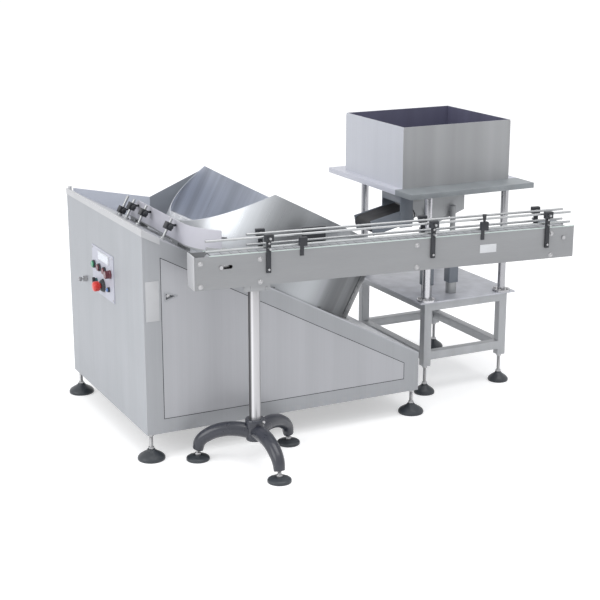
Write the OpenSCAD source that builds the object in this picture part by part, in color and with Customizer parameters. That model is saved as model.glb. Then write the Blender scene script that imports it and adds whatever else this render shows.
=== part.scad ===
// Unscrambler: a tilted rotor in a wedge-shaped cabinet, a slat conveyor and a hopper stand.
// X runs left to right, Y front to back, Z up. The machine stands on Z = 0.

/* [Cabinet] */
// Length of the cabinet, left to right
cab_l = 1300; // [1240:10:1360]
// Depth of the cabinet, front to back
cab_d = 980; // [970:10:1060]
// Height of the tall left side above the floor
cab_h = 980; // [940:10:1010]
// Height of the cabinet's underside above the floor
cab_foot_h = 112; // [95:1:130]
// Height of the cabinet's low right side above the floor
cab_low_h = 289; // [270:1:320]
// Thickness of the cabinet's sheet
sheet_t = 2; // [1.5:0.5:3]
// Thickness of the deck
deck_t = 5; // [3:1:8]
// Width of the square tube of the frames
tube_w = 40; // [30:5:45]
// Wall of the square tube
tube_wall = 2; // [1.5:0.5:3]
// Width of the fascia's side columns
column_w = 75; // [65:5:90]
// Height of the fascia's bottom rail
sill_h = 62; // [50:2:80]
// Height of the fascia's top rail
head_h = 78; // [60:2:100]
// Gap round the service door
door_gap = 0.8; // [0.5:0.1:0.9]
// Diameter of the cabinet's foot pads
pad_d = 116; // [90:2:120]
// Diameter of the feet's screws
foot_screw_d = 16; // [12:1:20]

/* [Drum and rotor] */
// Distance of the rotor's axis from the cabinet's left side, at the deck
rotor_x = 706; // [694:2:716]
// Distance of the drum shell from the cabinet's front and back
drum_margin = 20; // [18:1:40]
// Height of the drum shell
drum_h = 362; // [320:2:390]
// Wall of the drum shell
drum_t = 3; // [2:0.5:4]
// Height of the drum's low lip on the uphill side
drum_lip_h = 88; // [82:1:90]
// Slope of the oblique cut, in degrees from the deck
cut_angle = 53.6; // [48:0.2:58]
// Height of the track under the pockets above the deck
track_h = 92; // [88:1:98]
// Number of pockets in the disc
pocket_n = 36; // [28:1:38]
// Width of a pocket
pocket_d = 52; // [46:1:54]
// Thickness of the pocket disc
disc_t = 16; // [10:1:20]
// Diameter of the rotor shaft
shaft_d = 40; // [30:1:50]
// Radius of the rotor pulley's groove
rotor_pulley_r = 140; // [120:5:150]
// Radius of the motor pulley's groove
motor_pulley_r = 45; // [40:1:55]
// Distance between the two pulleys
belt_span = 270; // [260:5:300]

/* [Exit lane] */
// Depth of the line on which the lane and the conveyor carry below the cabinet's top
line_drop = 77; // [72:1:87]
// Clear width of the lane
lane_w = 56; // [50:1:60]
// Height of the lane guard
guard_h = 86; // [70:1:100]
// Distance of the lane's outer side from the cabinet's left side
lane_x = 186; // [180:1:190]
// Radius of the lane's outer side in its bend
lane_bend_r = 280; // [270:5:300]
// Length of the lane behind the rotor's axis
lane_back = 200; // [180:5:220]

/* [Conveyor] */
// Distance of the conveyor's right end from the hopper stand's left feet
conv_past = 345; // [320:5:440]
// Width over the side plates
conv_w = 92; // [90:1:100]
// Height of the side plates
conv_h = 134; // [126:1:150]
// Thickness of the side plates
plate_t = 3; // [2:0.5:4]
// Angle that the conveyor turns away from the cabinet's front, in degrees
conv_yaw = 6.4; // [5:0.1:7]
// Distance of the conveyor's left end from the cabinet's left side
conv_x = 139; // [130:1:150]
// Distance of the conveyor's left end in front of the cabinet
conv_y = 212; // [208:1:220]
// Thickness of the slat chain
chain_t = 5; // [4:0.5:7]
// Outer radius of the chain round its sprockets
chain_r = 50; // [44:1:52]
// Length of one slat
slat_l = 38; // [30:1:50]
// Diameter of the guide rods
rod_d = 10; // [8:0.5:12]
// Height of the upper guide rod above the line
rod_hi = 56; // [50:1:65]
// Height of the lower guide rod above the line
rod_lo = 14; // [12:1:20]
// Diameter of the stand's column
post_d = 48; // [42:1:60]
// Distance of the stand's column from the conveyor's left end
post_u = 256; // [240:1:270]
// Reach of the stand's legs
leg_reach = 240; // [220:5:260]
// Direction of the stand's first leg, in degrees
leg_turn = 149; // [140:1:160]
// Diameter of the stand's and the table's foot pads
stand_pad_d = 98; // [80:2:104]

/* [Hopper stand] */
// Distance of the left feet's centres from the cabinet's left side
table_x = 1473; // [1450:1:1500]
// Distance of the front feet's centres behind the cabinet's front
table_y = 224; // [210:1:240]
// Distance between the feet's centres, left to right
table_w = 419; // [400:5:440]
// Distance between the feet's centres, front to back
table_d = 593; // [580:5:620]
// Height of the lower plate's top
shelf_z = 454; // [440:2:470]
// Height of the table frame's lower end
table_foot_h = 136; // [110:2:150]
// Diameter of the four columns
mast_d = 36; // [30:1:42]
// Height of the tray's top above the cabinet's top
tray_rise = 3; // [-10:1:20]
// Thickness of the tray
tray_t = 25; // [15:1:30]
// Length of the tray, left to right
tray_l = 668; // [650:2:690]
// Depth of the tray, front to back
tray_d = 785; // [760:5:800]
// Length of the hopper, left to right
hopper_l = 577; // [560:1:600]
// Depth of the hopper, front to back
hopper_d = 544; // [530:2:560]
// Height of the hopper
hopper_h = 280; // [250:5:320]
// Length of the feed belt between its rollers
feeder_l = 180; // [170:5:190]
// Width of the feed belt
feeder_w = 150; // [120:5:160]
// Slope of the feed belt, in degrees
feeder_tilt = 12; // [8:1:14]

/* [Control station] */
// Width of the control plate
control_w = 280; // [270:5:300]
// Height of the control plate
control_h = 206; // [200:2:230]
// Diameter of a push button
button_d = 28; // [22:1:30]
// Travel of a push button
button_travel = 3; // [2:0.5:4]

/* [Hidden] */
$fn = 64;
steel = "silver";
satin = "darkgray";
black = "dimgray";
overrun = 1; // how far a cut runs past a face
fit = 0.05; // radial clearance of a running fit
near_gap = 0.3; // gap between pieces that move past each other
seat_gap = 0.05; // gap between the drum's flange and the deck

deck_tilt = atan((cab_h - cab_low_h) / cab_l); // slope of the deck, in degrees
drum_r = cab_d / 2 - drum_margin; // outer radius of the drum shell
line_z = cab_h - line_drop; // height of the line
tray_z = cab_h + tray_rise; // height of the tray's top
conv_l = (table_x + conv_past - conv_x) / cos(conv_yaw); // length of the side plates

// Centre of the machine's floor area, so that the origin lies at the middle of its base
tray_off_x = -28; // how far the tray's middle lies to the right of the feet's middle
reach_left = pad_d / 2 - sheet_t - tube_w / 2;
reach_right = table_x + table_w / 2 + tray_l / 2 + tray_off_x;
stand_x = conv_x + post_u * cos(conv_yaw) + conv_w / 2 * sin(conv_yaw);
stand_y = -conv_y - post_u * sin(conv_yaw) + conv_w / 2 * cos(conv_yaw);
reach_front = -stand_y - leg_reach * sin(leg_turn + 120) + stand_pad_d / 2;
reach_back = cab_d - sheet_t - tube_w / 2 + pad_d / 2;
estop_reach = 52;
origin_x = (reach_right - max(estop_reach, reach_left)) / 2;
origin_y = (reach_back - reach_front) / 2;

// Height of the deck's top at x, raised by n square to the deck
function deck_z(x, n = 0) = cab_h - x * tan(deck_tilt) + n / cos(deck_tilt);
rotor_y = cab_d / 2;

module machine() translate([-origin_x, -origin_y, 0]) children();

// Frame of the deck: X down the slope, Z square to the deck, origin on the rotor's axis
module on_deck()
    machine()
        translate([rotor_x, rotor_y, deck_z(rotor_x)])
            rotate([0, deck_tilt, 0])
                children();

// Frame of the conveyor: X along it, Y across it from the front plate, Z from the floor
module on_conveyor()
    machine()
        translate([conv_x, -conv_y, 0])
            rotate([0, 0, -conv_yaw])
                children();

// A plate whose outline lies in the XZ plane, from y0 to y1
module xz_plate(points, y0, y1)
    translate([0, y1, 0])
        rotate([90, 0, 0])
            linear_extrude(y1 - y0)
                polygon(points);

// A plate whose outline lies in the YZ plane, from x0 to x1
module yz_plate(points, x0, x1)
    translate([x0, 0, 0])
        rotate([90, 0, 90])
            linear_extrude(x1 - x0)
                polygon(points);

// A plug that closes the lower end of an upright tube, for the foot's screw
leg_plug_t = 6;
module leg_plug()
    translate([tube_wall, tube_wall, 0])
        cube([tube_w - 2 * tube_wall, tube_w - 2 * tube_wall, leg_plug_t]);

// A square tube of length l along Z, standing on the origin's corner
module tube_z(l)
    difference() {
        cube([tube_w, tube_w, l]);
        translate([tube_wall, tube_wall, -overrun])
            cube([tube_w - 2 * tube_wall, tube_w - 2 * tube_wall, l + 2 * overrun]);
    }

module tube_x(l)
    translate([0, 0, tube_w])
        rotate([0, 90, 0])
            tube_z(l);

module tube_y(l)
    translate([0, 0, tube_w])
        rotate([-90, 0, 0])
            tube_z(l);

// Outline round two circles of radii r1 and r2, their centres d apart along X
module belt_outline(d, r1, r2) {
    a = acos((r1 - r2) / d);
    circle(r1);
    translate([d, 0])
        circle(r2);
    polygon([
        [r1 * cos(a), r1 * sin(a)],
        [d + r2 * cos(a), r2 * sin(a)],
        [d + r2 * cos(a), -r2 * sin(a)],
        [r1 * cos(a), -r1 * sin(a)]
    ]);
}

// A levelling foot: pad, screw and lock nut, up to height h
foot_pad_h = 12;
foot_dome_h = 10;
foot_nut_h = 12;
module levelling_foot(h, d) {
    cylinder(h = foot_pad_h, d = d, $fn = 64);
    translate([0, 0, foot_pad_h])
        cylinder(h = foot_dome_h, d1 = d, d2 = 2 * foot_screw_d);
    cylinder(h = h, d = foot_screw_d);
    translate([0, 0, h - foot_nut_h])
        cylinder(h = foot_nut_h, d = 1.8 * foot_screw_d, $fn = 6);
}

// A round-headed bolt whose head stands on the origin's plane
bolt_head_d = 16;
bolt_head_h = 5;
module bolt_head()
    cylinder(h = bolt_head_h, d1 = bolt_head_d, d2 = 0.7 * bolt_head_d);

// Cabinet

inner_l = cab_l - 2 * sheet_t;
inner_d = cab_d - 2 * sheet_t;
under_deck = -deck_t;

module base_frame()
    color(steel)
        machine() {
            far_x = cab_l - sheet_t - tube_w;
            far_y = cab_d - sheet_t - tube_w;
            for (x = [sheet_t, far_x])
                for (y = [sheet_t, far_y]) {
                    translate([x, y, cab_foot_h])
                        leg_plug();
                    intersection() {
                        translate([x, y, cab_foot_h])
                            tube_z(cab_h);
                        xz_plate([
                            [0, 0],
                            [cab_l, 0],
                            [cab_l, deck_z(cab_l, under_deck)],
                            [0, deck_z(0, under_deck)]
                        ], 0, cab_d);
                    }
                }
            for (y = [sheet_t, far_y])
                translate([sheet_t + tube_w, y, cab_foot_h])
                    tube_x(inner_l - 2 * tube_w);
            for (x = [sheet_t, far_x])
                translate([x, sheet_t + tube_w, cab_foot_h])
                    tube_y(inner_d - 2 * tube_w);
            for (x = [sheet_t, far_x])
                translate([x, sheet_t + tube_w, deck_z(x + tube_w, under_deck) - tube_w])
                    tube_y(inner_d - 2 * tube_w);
        }

module side_sheet(x, h)
    translate([x, sheet_t, cab_foot_h])
        cube([sheet_t, inner_d, h - cab_foot_h]);

control_y = 494;
control_drop = 288;
control_z = cab_h - control_drop;
panel_hole_share = 0.86;

module left_panel()
    color("lightsteelblue")
        machine()
            difference() {
                side_sheet(0, deck_z(sheet_t, under_deck));
                translate([-overrun, control_y, control_z])
                    rotate([0, 90, 0])
                        linear_extrude(sheet_t + 2 * overrun)
                            square([control_h, control_w] * panel_hole_share, center = true);
                at_panel(key_y, key_z)
                    translate([0, 0, -sheet_t - overrun])
                        cylinder(h = sheet_t + 2 * overrun, d = key_barrel_d + 2 * fit);
            }

module cabinet_side(y0, y1)
    xz_plate([
        [0, cab_foot_h],
        [cab_l, cab_foot_h],
        [cab_l, deck_z(cab_l, under_deck)],
        [0, deck_z(0, under_deck)]
    ], y0, y1);

// The right and the back panel
module plain_panels()
    color(satin)
        machine() {
            side_sheet(cab_l - sheet_t, deck_z(cab_l, under_deck));
            cabinet_side(cab_d - sheet_t, cab_d);
        }

// Outline of the door's opening, drawn in by m on every side
function opening(m) = let (
    x0 = column_w + m,
    x1 = cab_l - column_w - m,
    z0 = cab_foot_h + sill_h + m,
    drop = head_h + m / cos(deck_tilt)
) [[x0, z0], [x1, z0], [x1, deck_z(x1) - drop], [x0, deck_z(x0) - drop]];

door_lip = 14; // how far the fascia's inner lip reaches behind the door

module front_fascia()
    color(satin)
        machine() {
            difference() {
                cabinet_side(0, sheet_t);
                xz_plate(opening(0), -overrun, sheet_t + overrun);
            }
            difference() {
                xz_plate(opening(-door_lip / 2), sheet_t, 2 * sheet_t);
                xz_plate(opening(door_lip), sheet_t - overrun, 2 * sheet_t + overrun);
            }
        }

// The pull: a triangular cup let into the door near its upper left corner
pull_l = 42;
pull_h = 26;
pull_wall = 2;
pull_depth = 20;
pull_in = 20;
pull_drop = 166;
pull_x = column_w + pull_in;
pull_z = deck_z(column_w) - head_h - pull_drop;
latch_d = 10;
latch_x = pull_x + pull_l / 3;

function pull_outline(m) = [
    [pull_x - m, pull_z - pull_h / 2 - 2 * m],
    [pull_x + pull_l + 2.5 * m, pull_z - m / 2],
    [pull_x + pull_l + 2.5 * m, pull_z + m / 2],
    [pull_x - m, pull_z + pull_h / 2 + 2 * m]
];

module service_door()
    color(satin)
        machine()
            difference() {
                xz_plate(opening(door_gap), 0, sheet_t);
                xz_plate(pull_outline(pull_wall), -overrun, sheet_t + overrun);
            }

module door_pull()
    color(steel)
        machine()
            difference() {
                union() {
                    xz_plate(pull_outline(2 * pull_wall), -pull_wall, 0);
                    xz_plate(pull_outline(pull_wall), -pull_wall, pull_depth);
                }
                xz_plate(pull_outline(0), -pull_wall - overrun, pull_depth - pull_wall);
                translate([latch_x, pull_depth + overrun, pull_z])
                    rotate([90, 0, 0])
                        cylinder(h = pull_wall + 2 * overrun, d = latch_d + 2 * fit);
            }

latch_head_d = 15;
latch_head_h = 8;
cam_reach = 20;
cam_l = latch_x - column_w + cam_reach;
cam_w = 14;
cam_t = 4;

module door_latch()
    color(steel)
        machine()
            translate([latch_x, pull_depth + near_gap + cam_t, pull_z])
                rotate([90, 0, 0]) {
                    cylinder(h = cam_t + 2 * near_gap + pull_wall, d = latch_d);
                    translate([0, 0, cam_t + 2 * near_gap + pull_wall])
                        cylinder(h = latch_head_h, d = latch_head_d);
                    translate([-cam_l, -cam_w / 2, 0])
                        cube([cam_l + cam_w / 2, cam_w, cam_t]);
                }

plate_side = 8;
column_plate_h = 168;
column_plate_drop = 380;
column_plate_z = cab_h - column_plate_drop;

module column_plate()
    color("whitesmoke")
        machine()
            translate([plate_side, -sheet_t, column_plate_z])
                cube([column_w - 2 * plate_side, sheet_t, column_plate_h]);

shaft_hole_gap = 15;
shaft_hole_d = shaft_d + 2 * shaft_hole_gap;

module deck()
    color("gainsboro")
        difference() {
            machine()
                xz_plate([
                    [0, deck_z(0, under_deck)],
                    [cab_l, deck_z(cab_l, under_deck)],
                    [cab_l, deck_z(cab_l)],
                    [0, deck_z(0)]
                ], 0, cab_d);
            on_deck()
                translate([0, 0, under_deck - overrun])
                    cylinder(h = deck_t + 2 * overrun, d = shaft_hole_d);
        }

rim_h = 24;
rim_t = 3;
rim_w = 30;
rim_knob_d = 18;
rim_knob_h = 10;

module deck_rim()
    color("whitesmoke")
        machine() {
            translate([-rim_t, -rim_t, cab_h - rim_h])
                cube([rim_t, cab_d + rim_t, rim_h + rim_t]);
            xz_plate([
                [-rim_t, deck_z(0) - rim_h],
                [column_w, deck_z(column_w) - rim_h],
                [column_w, deck_z(column_w) + rim_t],
                [0, deck_z(0) + rim_t],
                [-rim_t, deck_z(0) + rim_t]
            ], -rim_t, 0);
            xz_plate([
                [0, deck_z(0)],
                [rim_w, deck_z(rim_w)],
                [rim_w, deck_z(rim_w) + rim_t],
                [0, deck_z(0) + rim_t]
            ], 0, cab_d);
            difference() {
                low = deck_z(rim_w);
                translate([rim_knob_d / 2, cab_d - rim_knob_d, low])
                    cylinder(h = cab_h + rim_t + rim_knob_h - low, d = rim_knob_d);
                xz_plate([
                    [-overrun, deck_z(-overrun)],
                    [-overrun, low - overrun],
                    [rim_w, low - overrun],
                    [rim_w, low]
                ], 0, cab_d);
            }
        }

// The back guard: a plate at the deck's back edge, with a gable behind the drum
guard_top_tilt = 11.5;
guard_foot_share = 0.308;
guard_peak_share = 0.53;
guard_end_share = 0.7;
guard_rise = 7;
function guard_top(x) = cab_h + guard_rise - x * tan(guard_top_tilt);

// Point of the guard's gable at the distance x, level with the drum's rim
function rim_point(x) = [x, deck_z(x) + drum_h / cos(deck_tilt)];

module back_guard()
    color("gainsboro")
        machine() {
            x1 = cab_l * guard_foot_share;
            x2 = cab_l * guard_peak_share;
            x3 = cab_l * guard_end_share;
            xz_plate([
                [rim_w, deck_z(rim_w)],
                [x3, deck_z(x3)],
                [x3, deck_z(x3) + rim_w],
                [rotor_x, deck_z(rotor_x) + rim_w],
                rim_point(rotor_x + drum_h * sin(deck_tilt)),
                rim_point(x2),
                [x1, guard_top(x1)],
                [rim_w, guard_top(rim_w)]
            ], cab_d - sheet_t, cab_d);
        }

foot_inset = sheet_t + tube_w / 2;

// The feet of the cabinet, of the conveyor's stand and of the hopper's table
module levelling_feet()
    color(black) {
        machine() {
            for (x = [foot_inset, cab_l - foot_inset])
                for (y = [foot_inset, cab_d - foot_inset])
                    translate([x, y, 0])
                        levelling_foot(cab_foot_h, pad_d);
            at_table_legs()
                levelling_foot(table_foot_h, stand_pad_d);
        }
        on_stand()
            for (a = leg_angles)
                rotate([0, 0, a])
                    translate([leg_reach, 0, 0])
                        levelling_foot(leg_tip_h, stand_pad_d);
    }

// Control station. at_panel's Z points out of the left panel, its X up and its Y to the back
control_t = 3;

module at_panel(y, z)
    translate([0, y, z])
        rotate([0, -90, 0])
            children();

// Places of the controls as offsets from the plate's centre: towards the back, and up
pitch = control_w / 4;
row_z = 18;
low_z = -54;
start_y = control_y + 1.6 * pitch;
stop_y = control_y + 0.6 * pitch;
jog_y = control_y - 0.4 * pitch;
knob_y = control_y - 1.4 * pitch;
selector_y = control_y + 1.25 * pitch;
estop_y = control_y;
button_z = control_z + row_z;
switch_z = control_z + low_z;
stem_d = 14;
estop_stem_d = 22;
knob_d = 38;
knob_h = 26;
estop_d = 44;
estop_collar_d = 60;
estop_collar_h = 14;
estop_travel = 5;
bezel_h = 8;
bezel_wall = 3;
cap_gap = 0.5;
pilot_d = 22;
pilot_y = control_y - 1.1 * pitch;

module control_plate()
    color("gainsboro")
        machine()
            difference() {
                at_panel(control_y, control_z)
                    translate([-control_h / 2, -control_w / 2, 0])
                        cube([control_h, control_w, control_t]);
                for (y = [start_y, stop_y, jog_y, knob_y])
                    panel_bore(y, button_z, stem_d);
                panel_bore(selector_y, switch_z, stem_d);
                panel_bore(estop_y, switch_z, estop_stem_d);
            }

module panel_bore(y, z, d)
    at_panel(y, z)
        translate([0, 0, -overrun])
            cylinder(h = control_t + 2 * overrun, d = d + 2 * fit);

display_w = 130;
display_h = 30;
display_t = 4;

module display_window()
    color("ghostwhite")
        machine()
            at_panel(control_y - pitch / 4, control_z + control_h / 2 - display_h)
                translate([-display_h / 2, -display_w / 2, control_t])
                    cube([display_h, display_w, display_t]);

module push_button(y, d)
    machine()
        at_panel(y, button_z) {
            translate([0, 0, control_t + button_travel + near_gap])
                cylinder(h = bezel_h + button_travel, d = d);
            translate([0, 0, -bezel_h])
                cylinder(h = control_t + button_travel + bezel_h + overrun, d = stem_d);
        }

module start_button() color("mediumseagreen") push_button(start_y, button_d);

module stop_button() color("maroon") push_button(stop_y, button_d);

module jog_button() color("maroon") push_button(jog_y, button_d);

module speed_knob()
    color("maroon")
        machine()
            at_panel(knob_y, button_z) {
                translate([0, 0, control_t + near_gap])
                    cylinder(h = knob_h, d = knob_d);
                translate([0, -bezel_wall / 2, control_t + near_gap])
                    cube([knob_d / 2 + bezel_wall, bezel_wall, knob_h]);
                translate([0, 0, -bezel_h])
                    cylinder(h = control_t + near_gap + bezel_h + overrun, d = stem_d);
            }

module selector_switch()
    color("darkslategray")
        machine()
            at_panel(selector_y, switch_z) {
                translate([0, 0, control_t + near_gap])
                    cylinder(h = bezel_h, d = button_d);
                translate([-knob_d / 2, -stem_d / 2, control_t + near_gap + bezel_h])
                    cube([knob_d, stem_d, knob_h / 2]);
                translate([0, 0, -bezel_h])
                    cylinder(h = control_t + near_gap + bezel_h + overrun, d = stem_d);
            }

module estop_button()
    color("red")
        machine()
            at_panel(estop_y, switch_z) {
                head_z = control_t + estop_collar_h + estop_travel + near_gap;
                translate([0, 0, head_z])
                    cylinder(h = estop_reach - head_z, d = estop_d);
                translate([0, 0, -bezel_h])
                    cylinder(h = head_z + bezel_h + overrun, d = estop_stem_d);
            }

// Rings round the push buttons, the emergency stop's collar and a pilot lamp
module bezels()
    color(black)
        machine() {
            for (y = [start_y, stop_y, jog_y])
                at_panel(y, button_z)
                    translate([0, 0, control_t])
                        difference() {
                            cylinder(h = bezel_h, d = button_d + 2 * (cap_gap + bezel_wall));
                            translate([0, 0, -overrun])
                                cylinder(h = bezel_h + 2 * overrun, d = button_d + 2 * cap_gap);
                        }
            at_panel(estop_y, switch_z)
                translate([0, 0, control_t])
                    difference() {
                        cylinder(h = estop_collar_h, d1 = estop_collar_d, d2 = estop_d);
                        translate([0, 0, -overrun])
                            cylinder(h = estop_collar_h + 2 * overrun, d = estop_stem_d + 2 * fit);
                    }
            at_panel(pilot_y, switch_z)
                translate([0, 0, control_t])
                    cylinder(h = bezel_h, d = pilot_d);
        }

key_off_y = 98;
key_off_z = 78;
key_y = control_y + control_w / 2 + key_off_y;
key_z = control_z - key_off_z;
key_barrel_d = 18;
key_head_d = 26;
key_head_h = 6;

module key_lock()
    color(black)
        machine()
            at_panel(key_y, key_z) {
                translate([0, 0, near_gap])
                    cylinder(h = key_head_h, d = key_head_d);
                translate([0, 0, -sheet_t - bezel_h])
                    cylinder(h = sheet_t + bezel_h + near_gap + overrun, d = key_barrel_d);
                translate([-key_head_d / 2, -sheet_t / 2, key_head_h])
                    cube([key_head_d, sheet_t, key_head_d / 2]);
            }

// Drum and rotor, in the frame of the deck

flange_w = 14;
seam_w = 30;
seam_angle = -48;
cut_top_s = -drum_r + (drum_h - drum_lip_h) / tan(cut_angle);

module ring(r0, r1, z0, z1)
    translate([0, 0, z0])
        difference() {
            cylinder(h = z1 - z0, r = r1, $fn = 128);
            translate([0, 0, -overrun])
                cylinder(h = z1 - z0 + 2 * overrun, r = r0, $fn = 128);
        }

flange_bolt_n = 12;

// The shell with its lap seam, cut off obliquely on the high side, and its flange
module drum_shell()
    color("gainsboro")
        on_deck()
            translate([0, 0, seat_gap]) {
                difference() {
                    union() {
                        ring(drum_r - drum_t, drum_r, 0, drum_h);
                        rotate([0, 0, seam_angle])
                            translate([drum_r - drum_t, -seam_w / 2, flange_w])
                                cube([drum_t + sheet_t, seam_w, drum_h - flange_w]);
                    }
                    xz_plate([
                        [cut_top_s, drum_h],
                        [cut_top_s, drum_h + overrun],
                        [-2 * drum_r, drum_h + overrun],
                        [-2 * drum_r, drum_lip_h - drum_r * tan(cut_angle)]
                    ], -2 * drum_r, 2 * drum_r);
                }
                ring(drum_r, drum_r + flange_w, 0, sheet_t);
                for (i = [0 : flange_bolt_n - 1])
                    rotate([0, 0, (i + 0.5) * 360 / flange_bolt_n])
                        translate([drum_r + flange_w / 2, 0, sheet_t])
                            cylinder(h = bolt_head_h, d = flange_w / 2);
            }

track_t = 8;
track_w = 70;
disc_gap = 4; // gap between the disc's rim and the drum
disc_r = drum_r - drum_t - disc_gap;
disc_z = track_h + near_gap;

module slide_ring()
    color("aliceblue")
        on_deck() {
            ring(drum_r - drum_t - track_w, drum_r - drum_t, track_h - track_t, track_h);
            ring(drum_r - drum_t - track_w, drum_r - drum_t - track_w + track_t, 0, track_h);
        }

pocket_depth = 48;
disc_core_r = disc_r - pocket_depth;

// A round plate with teeth between the pockets, which are slots with round ends
module pocket_disc()
    color("whitesmoke")
        on_deck()
            translate([0, 0, disc_z]) {
                ring(shaft_d / 2, disc_core_r, 0, disc_t);
                difference() {
                    ring(disc_core_r, disc_r, 0, disc_t);
                    for (i = [0 : pocket_n - 1])
                        rotate([0, 0, i * 360 / pocket_n])
                            translate([disc_core_r - overrun + pocket_d / 2, 0, -overrun]) {
                                cylinder(h = disc_t + 2 * overrun, d = pocket_d);
                                translate([0, -pocket_d / 2, 0])
                                    cube([pocket_d, pocket_d, disc_t + 2 * overrun]);
                            }
                }
            }

cone_h = 64;
cone_top_share = 0.18;
cone_base_share = 0.72;

module disc_cone()
    color("gainsboro")
        on_deck()
            translate([0, 0, disc_z + disc_t]) {
                cylinder(h = cone_h, r1 = disc_r * cone_base_share, r2 = disc_r * cone_top_share, $fn = 128);
                translate([0, 0, cone_h])
                    cylinder(h = track_t, r = disc_r * cone_top_share / 2);
            }

bearing_l = 120;
bearing_wall = 25;
bearing_d = shaft_d + 2 * bearing_wall;
bearing_flange_t = 14;
pulley_t = 24;
pulley_z = under_deck - bearing_l - near_gap - pulley_t;

module rotor_shaft()
    color(steel)
        on_deck() {
            translate([0, 0, pulley_z - overrun])
                cylinder(h = disc_z + disc_t - pulley_z + overrun, d = shaft_d);
            translate([0, 0, deck_t])
                cylinder(h = disc_z - deck_t, d = 2 * shaft_d);
        }

module bearing_unit()
    color("darkslategray")
        on_deck()
            difference() {
                union() {
                    translate([0, 0, under_deck - bearing_l])
                        cylinder(h = bearing_l, d = bearing_d);
                    translate([0, 0, under_deck - bearing_flange_t])
                        cylinder(h = bearing_flange_t, d = 2 * bearing_d);
                }
                translate([0, 0, under_deck - bearing_l - overrun])
                    cylinder(h = bearing_l + 2 * overrun, d = shaft_d + 2 * fit);
            }

groove = 6;

module pulley(r, bore)
    rotate_extrude($fn = 128)
        polygon([
            [bore / 2, 0],
            [r + groove, 0],
            [r + groove, pulley_t / 6],
            [r, pulley_t / 3],
            [r, pulley_t * 2 / 3],
            [r + groove, pulley_t * 5 / 6],
            [r + groove, pulley_t],
            [bore / 2, pulley_t]
        ]);

module rotor_pulley()
    color(satin)
        on_deck()
            translate([0, 0, pulley_z])
                pulley(rotor_pulley_r, shaft_d);

motor_shaft_d = 20;
motor_box = 110;
motor_box_h = under_deck - pulley_z - pulley_t - near_gap;
motor_r = 52;
motor_l = 190;

module motor_pulley()
    color(satin)
        on_deck()
            translate([belt_span, 0, pulley_z]) {
                pulley(motor_pulley_r, motor_shaft_d);
                cylinder(h = pulley_t + near_gap + motor_box_h / 2, d = motor_shaft_d);
            }

belt_t = 5;

module drive_belt()
    color("black")
        on_deck()
            translate([0, 0, pulley_z + pulley_t * 0.38])
                linear_extrude(pulley_t * 0.24)
                    difference() {
                        belt_outline(
                            belt_span,
                            rotor_pulley_r + near_gap + belt_t,
                            motor_pulley_r + near_gap + belt_t,
                            $fn = 128
                        );
                        belt_outline(
                            belt_span,
                            rotor_pulley_r + near_gap,
                            motor_pulley_r + near_gap,
                            $fn = 128
                        );
                    }

// The rotor's gear motor under the deck and the conveyor's behind its back plate
module gear_motors() {
    rotor_motor();
    conveyor_motor();
}

module rotor_motor()
    color("slategray")
        on_deck()
            translate([belt_span, 0, under_deck - motor_box_h])
                difference() {
                    union() {
                        translate([-motor_box / 2, -motor_box / 2, 0])
                            cube([motor_box, motor_box, motor_box_h]);
                        translate([0, motor_box / 2, motor_box_h / 2])
                            rotate([-90, 0, 0])
                                cylinder(h = motor_l, r = motor_r);
                    }
                    translate([0, 0, -overrun])
                        cylinder(h = motor_box_h / 2 + near_gap + overrun, d = motor_shaft_d + 2 * fit);
                }

// Exit lane, from the drum's high side to the conveyor

lane_start_y = rotor_y + lane_back;
lane_turn_share = 0.03; // where the bend starts, as a share of the cabinet's depth
lane_turn_y = cab_d * lane_turn_share;
lane_turn_end = 226; // angle at which the bend ends, in degrees
lane_plate_t = 6;
lane_bend_x = lane_x + lane_bend_r;
lane_leg_l = 60;
lane_leg_share = [0.09, 0.6];
bridge_l = 130; // length of the opening through which the drum gives on to the lane
guard_cut_l = 150; // how far the guard's end slants
guard_lift = 12; // how far the guard's end clears the conveyor

// Plan of the lane's bend, between the distances a and b from its outer side
module bend_plan(a, b)
    translate([lane_bend_x, lane_turn_y])
        intersection() {
            difference() {
                circle(r = lane_bend_r - a, $fn = 128);
                circle(r = lane_bend_r - b, $fn = 128);
            }
            polygon([
                [0, 0],
                [-2 * lane_bend_r, 0],
                [-2 * lane_bend_r, 2 * lane_bend_r * tan(180 - lane_turn_end)]
            ]);
        }

// Plan of the conveyor and of all that lies in front of it, with the margin m behind it
module conveyor_plan(m)
    translate([conv_x, -conv_y])
        rotate(-conv_yaw)
            translate([-conv_l, -conv_l + conv_w + m])
                square([3 * conv_l, conv_l]);

module lane_plate()
    color(steel) {
        machine() {
            low = line_z - lane_plate_t;
            wide = lane_w + 3 * sheet_t;
            translate([lane_x - sheet_t, lane_turn_y, low])
                cube([wide, lane_start_y - lane_turn_y, lane_plate_t]);
            translate([0, 0, low])
                linear_extrude(lane_plate_t)
                    difference() {
                        bend_plan(-sheet_t, lane_w + 2 * sheet_t);
                        conveyor_plan(strip_out + near_gap);
                    }
            for (s = lane_leg_share)
                xz_plate([
                    [lane_x, deck_z(lane_x)],
                    [lane_x + lane_w, deck_z(lane_x + lane_w)],
                    [lane_x + lane_w, low],
                    [lane_x, low]
                ], cab_d * s, cab_d * s + lane_leg_l);
        }
        difference() {
            machine()
                translate([lane_x + lane_w + 2 * sheet_t, rotor_y - bridge_l / 2, line_z - lane_plate_t])
                    cube([rotor_x - lane_x - lane_w, bridge_l, lane_plate_t]);
            on_deck()
                cylinder(h = drum_h, r = drum_r, $fn = 128);
            on_deck()
                translate([0, -drum_r, -drum_r])
                    cube([drum_r * 2, 2 * drum_r, 2 * drum_r]);
            on_deck()
                translate([-drum_r * cos(asin(bridge_l / drum_r)), -drum_r, -drum_r])
                    cube([drum_r * 2, 2 * drum_r, 2 * drum_r]);
        }
    }

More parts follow.
